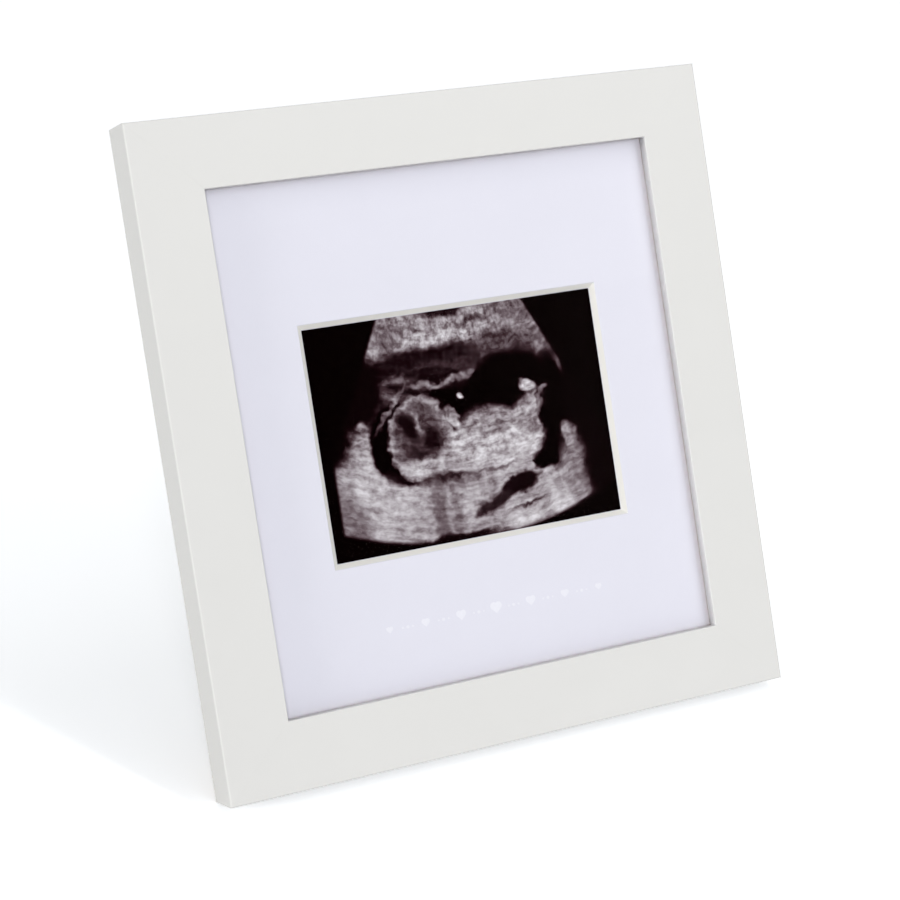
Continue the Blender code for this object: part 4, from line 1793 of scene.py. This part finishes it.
@dataclass
class TurnButtons:
    """The four turn buttons that hold the panel in, each on its pan-head screw."""

    setting: Setting
    metals: Metals
    hole: float = 1.5 * MM
    edge: float = 0.15 * MM
    button_steps: int = 96
    boss: float = 2.9 * MM
    boss_edge: float = 0.2 * MM
    boss_height: float = 0.3 * MM
    head_radius: float = 2.8 * MM
    head_edge: float = 0.1 * MM
    head_rim: float = 0.6 * MM
    head_crown: float = 1.0 * MM
    head_steps: int = 7
    core_radius: float = 1.05 * MM
    crest_radius: float = 1.4 * MM
    thread_pitch: float = 1.1 * MM
    thread_start: float = 0.75
    thread_end: float = 1.2 * MM
    crest: tuple[float, float] = (0.45, 0.55)
    neck: float = 0.9 * MM
    shank: float = 0.7 * MM
    tip_radius: float = 0.12 * MM
    tip_length: float = 2.5 * MM
    taper_radius: float = 0.7
    taper_end: float = 0.6
    screw_steps: int = 36
    cross_length: float = 3.2 * MM
    cross_width: float = 0.7 * MM
    cross_depth: float = 0.9 * MM
    cross_floor: tuple[float, float, float] = (0.45, 0.6, 1)
    cross_turns: tuple[float, ...] = (0.3, 1.1, -0.45, 0.7)

    @property
    def head_height(self) -> float:
        """How high a screw's head is."""
        return self.head_rim + self.head_crown

    def model_button(self, button: Extent) -> Blank:
        """Models a turn button that reaches towards +x, with its hole at the origin.

        Args:
            button: A packed button's extent.

        Returns:
            The button, from 0 to its sheet in depth, with a low boss in front.
        """
        radius = button.size.z / 2
        sheet = button.size.y
        made = Blank.turned("button", [(radius, 0), (radius, sheet)], self.button_steps)
        with made.editing():
            made.pick(Element.VERTEX, lambda place, normal: place.x > TOUCH)
            made.shift((button.size.x - 2 * radius, 0, 0))
        rings = [
            (self.boss - self.boss_edge, -self.boss_height),
            (self.boss, self.boss_edge - self.boss_height),
            (self.boss, self.boss_height),
        ]
        made.fuse(Blank.turned("boss", rings))
        made.cut(Blank.turned("pivot_hole", [(self.hole, -PAST), (self.hole, sheet + PAST)]))
        made.soften(self.edge)
        made.lay(turn=ALONG_DEPTH)
        return made

    def model_cross(self, turn: float) -> Blank:
        """Models the cross recess of a screw's head.

        Args:
            turn: How far it is turned.

        Returns:
            The cross, tapering to its floor.
        """
        half, short = self.cross_length / 2, self.cross_width / 2
        floor = self.head_height - self.cross_depth
        arm = Blank.block("cross_arm", (-half, -short, floor), (half, short, self.head_height + PAST / 2))
        with arm.editing():
            arm.pick(Element.FACE, facing(0, 0, -1))
            arm.resize(self.cross_floor, (0, 0, 0))
        other = arm.copy("other_arm")
        arm.lay(turn=(0, 0, turn))
        other.lay(turn=(0, 0, turn + QUARTER_TURN))
        arm.fuse(other)
        return arm

    def model_screw(self, length: float) -> Blank:
        """Models a pan-head wood screw about z, without its cross.

        Args:
            length: How far it reaches below its head.

        Returns:
            The screw, its head's seat at 0.
        """
        profile = [(self.tip_radius, -length)]
        profile += [(self.core_radius * self.taper_radius, self.tip_length * self.taper_end - length)]
        height = self.tip_length * self.thread_start - length
        while height + self.thread_pitch < -self.thread_end:
            profile.append((self.core_radius, height))
            profile += [(self.crest_radius, height + self.thread_pitch * share) for share in self.crest]
            height += self.thread_pitch
        profile += [(self.core_radius, height), (self.core_radius, -self.neck)]
        profile += [(self.crest_radius, -self.shank), (self.crest_radius, 0)]
        profile += [(self.head_radius - self.head_edge, 0), (self.head_radius, self.head_edge)]
        profile += dome(self.head_radius, self.head_rim, self.head_crown, self.head_steps, self.head_edge)
        return Blank.turned("screw", profile, self.screw_steps)

    def build(self) -> None:
        """Builds the four buttons and their screws, each modelled once and copied."""
        box = self.setting.extent("turn_button_left_lower")
        screw_box = self.setting.extent("button_screw_left_lower")
        seat = screw_box.high.y - self.head_height
        button_model = self.model_button(box)
        screw_model = self.model_screw(seat - screw_box.low.y)
        for body, cross_turn in zip(BUTTONS, self.cross_turns):
            place = body.value.removeprefix("turn_button_")
            pivot = self.setting.inward(joint(f"turn_{place}")["pos_m"])
            half_turn = math.pi if pivot.x > 0 else 0
            button = button_model.copy(f"swivel_clip_{place}")
            button.lay((pivot.x, box.low.y, pivot.z), (0, half_turn, 0))
            button.finish(self.setting, self.metals.zinc, "zinc_steel", body.value, body=body)
            screw = screw_model.copy(f"pan_screw_{place}")
            screw.cut(self.model_cross(cross_turn))
            screw.lay((pivot.x, seat, pivot.z), ALONG_DEPTH)
            screw.finish(self.setting, self.metals.nickel, "nickel_steel", f"button_screw_{place}")
        button_model.discard()
        screw_model.discard()


@dataclass
class Rivet:
    """A domed rivet."""

    radius: float = 1.5 * MM
    hole: float = 1.55 * MM
    head_radius: float = 2.7 * MM
    head_height: float = 1.1 * MM
    head_edge: float = 0.08 * MM
    head_steps: int = 8
    tail_radius: float = 2.3 * MM
    tail_height: float = 0.7 * MM
    tail_edge: float = 0.15 * MM
    tip: float = 0.12 * MM

    def model(self, total: float) -> Blank:
        """Models a rivet about z, its head's rim reaching down over the gap to its seat.

        Args:
            total: Its whole length.

        Returns:
            The rivet, its tail's end at height 0.
        """
        rim = total - self.head_height
        seat = rim - SEAT_GAP
        profile = [(self.tail_radius - self.tail_edge, 0), (self.tail_radius, self.tail_edge)]
        profile += [(self.tail_radius, self.tail_height), (self.radius, self.tail_height)]
        profile += [(self.radius, seat), (self.head_radius - self.head_edge, seat)]
        profile += [(self.head_radius, seat + self.head_edge)]
        profile += dome(self.head_radius, rim, self.head_height, self.head_steps, self.tip)
        return Blank.turned("rivet", profile)

    def build_pair(
        self, setting: Setting, nickel: bpy.types.Material, names: dict[str, str], body: Body
    ) -> None:
        """Builds two rivets, modelled once.

        Args:
            setting: The setting that they are in.
            nickel: Their finish.
            names: Each piece's name, by its packed rivet.
            body: The body that they ride on.
        """
        boxes = {node: setting.extent(node) for node in names}
        model = self.model(next(iter(boxes.values())).size.y)
        for node, box in boxes.items():
            rivet = model.copy(names[node])
            rivet.lay((box.middle.x, box.low.y, box.middle.z), ALONG_DEPTH)
            rivet.finish(setting, nickel, "nickel_steel", node, body=body)
        model.discard()


@dataclass
class Hinge:
    """The hinge's two rolled leaves, its pin and the rivets of the fixed leaf."""

    leaning: Setting
    swinging: Setting
    metals: Metals
    sheet: float = 0.8 * MM
    bore: float = 1.1 * MM
    roll: float = math.radians(280)
    roll_steps: int = 30
    side_gap: float = 0.3 * MM
    corner: float = 3 * MM
    corner_steps: int = 8
    edge: float = 0.12 * MM
    drill_reach: float = 5 * MM
    pin_ends: tuple[tuple[float, float], ...] = ((0.0, 0.75), (0.12 * MM, 0.93), (0.3 * MM, 1.0))

    @property
    def middle_radius(self) -> float:
        """From the pin's axis to the middle of the sheet."""
        return self.bore + self.sheet / 2

    @property
    def pin_place(self) -> Vector:
        """The pin's middle."""
        return self.leaning.inward(joint("strut_fold")["pos_m"])

    def model_leaf(
        self, name: str, width: float, length: float, notch: float, rivets: list[Vector]
    ) -> Blank:
        """Models a leaf that runs up from the pin, in front of it, and rolls round it.

        Args:
            name: The leaf's name.
            width: Its width along the pin.
            length: How far it reaches from the pin's axis.
            notch: Half the width of the gap in its knuckle, or 0.
            rivets: Where its rivets pass, from the pin.

        Returns:
            The leaf, round the pin at the origin.
        """
        leaf = Blank.sheet(name, (0, -self.middle_radius, length / 2), width, length)
        reach = self.bore + self.sheet + SEAT_GAP
        with leaf.editing():
            leaf.pick(Element.VERTEX, lambda place, normal: place.z > length - TOUCH)
            bpy.ops.mesh.bevel(offset=self.corner, segments=self.corner_steps, affect="VERTICES")
            leaf.pick(Element.EDGE, lambda place, way: place.z < TOUCH)
            bpy.ops.mesh.spin(
                steps=self.roll_steps, angle=-self.roll, center=(0, 0, 0), axis=(1, 0, 0)
            )
            if notch:
                for side in (-1, 1):
                    leaf.slice((side * notch, 0, 0), (1, 0, 0), keep_all=True)
                leaf.slice((0, 0, reach), (0, 0, 1), keep_all=True)
                leaf.pick(Element.FACE, lambda place, normal: abs(place.x) < notch and place.z < reach)
                bpy.ops.mesh.delete(type="FACE")
            leaf.close_up()
        leaf.modify("SOLIDIFY", thickness=self.sheet, offset=0, use_even_offset=True)
        hole = [(Rivet.hole, -self.drill_reach), (Rivet.hole, self.drill_reach)]
        for place in rivets:
            leaf.drill(hole, (place.x, -self.middle_radius, place.z))
        leaf.soften(self.edge)
        return leaf

    def build_pin(self) -> None:
        """Builds the pin, its ends a little domed."""
        rod = self.leaning.extent("hinge_pin")
        radius, half = rod.size.z / 2, rod.high.x
        profile = [(radius * share, offset - half) for offset, share in self.pin_ends]
        profile += [(radius * share, half - offset) for offset, share in reversed(self.pin_ends)]
        pin = Blank.turned("hinge_pin_rod", profile)
        pin.lay(self.pin_place, (0, QUARTER_TURN, 0))
        pin.finish(self.leaning, self.metals.nickel, "nickel_steel", "hinge_pin")

    def build(self) -> None:
        """Builds the fixed leaf, the pin and the fixed leaf's rivets."""
        plate = self.leaning.extent("hinge_plate")
        notch = self.swinging.extent("strut_leaf").high.x + self.side_gap
        rivets = [self.leaning.extent(node).middle - self.pin_place for node in PLATE_RIVETS]
        length = plate.high.z - self.pin_place.z
        fixed = self.model_leaf("hinge_fixed_leaf", plate.size.x, length, notch, rivets)
        fixed.lay(self.pin_place)
        fixed.finish(self.leaning, self.metals.zinc, "zinc_steel", "hinge_plate")
        self.build_pin()
        names = {node: node.replace("plate", "hinge") for node in PLATE_RIVETS}
        Rivet().build_pair(self.leaning, self.metals.nickel, names, Body.FRAME)


@dataclass
class Strut:
    """The strut's board, its leaf of the hinge and its rivets, which turn together."""

    hinge: Hinge
    metals: Metals
    top_width: float = 38 * MM
    edge: float = 0.25 * MM
    drill_reach: float = 9 * MM

    def build_board(self) -> None:
        """Builds the tapered board, its heel cut to stop on the hinge and its foot to stand flat."""
        leaning, swinging = self.hinge.leaning, self.hinge.swinging
        box = swinging.extent("strut")
        board = Blank.block("easel_strut", box.low, box.high)
        back_matrix = swinging.matrix.inverted() @ leaning.matrix
        plate_back = min(self.hinge.pin_place.y - self.hinge.bore, leaning.extent("hinge_plate").high.y)
        stop = back_matrix @ Vector((0, plate_back + SEAT_GAP, 0))
        with board.editing():
            board.pick(Element.FACE, facing(0, 0, 1))
            board.resize((self.top_width / box.size.x, 1, 1), (0, 0, 0))
            board.slice(swinging.inward((0, 0, 0)), swinging.inward_direction((0, 0, -1)))
            board.slice(stop, back_matrix.to_3x3() @ Vector((0, -1, 0)))
            board.close_up()
        for node in STRUT_RIVETS:
            rivet = swinging.extent(node).middle
            board.drill([(Rivet.hole, -PAST), (Rivet.hole, self.drill_reach)], (rivet.x, 0, rivet.z))
        board.soften(self.edge)
        black = BlackFacedBoard().material("black_faced_strut", swinging, box)
        board.finish(swinging, black, "black_faced_board", "strut", body=Body.STRUT)

    def build(self) -> None:
        """Builds the strut, its leaf and its rivets."""
        self.build_board()
        swinging = self.hinge.swinging
        box = swinging.extent("strut_leaf")
        middles = [swinging.extent(node).middle for node in STRUT_RIVETS]
        places = [Vector((middle.x, 0, -middle.z)) for middle in middles]
        leaf = self.hinge.model_leaf("hinge_moving_leaf", box.size.x, -box.low.z, 0, places)
        leaf.lay(turn=(math.pi, 0, 0))
        leaf.finish(swinging, self.metals.zinc, "zinc_steel", "strut_leaf", body=Body.STRUT)
        names = {node: node.replace("strut", "easel") for node in STRUT_RIVETS}
        Rivet().build_pair(swinging, self.metals.nickel, names, Body.STRUT)


def main() -> None:
    """Builds the studio and the whole frame, piece by piece."""
    logging.basicConfig(level=logging.INFO, format="%(name)s: %(message)s")
    leaning = leaning_setting()
    swinging = swinging_setting(leaning)
    fixed_metals = Metals.within(leaning)
    moving_metals = Metals.within(swinging)
    Studio().build(leaning)
    Moulding(leaning, fixed_metals).build()
    Glazing(leaning).build()
    WindowMat(leaning).build()
    Picture(leaning).build()
    Backing(leaning).build()
    TurnButtons(leaning, fixed_metals).build()
    hinge = Hinge(leaning, swinging, fixed_metals)
    hinge.build()
    Strut(hinge, moving_metals).build()


if __name__ == "__main__":
    main()
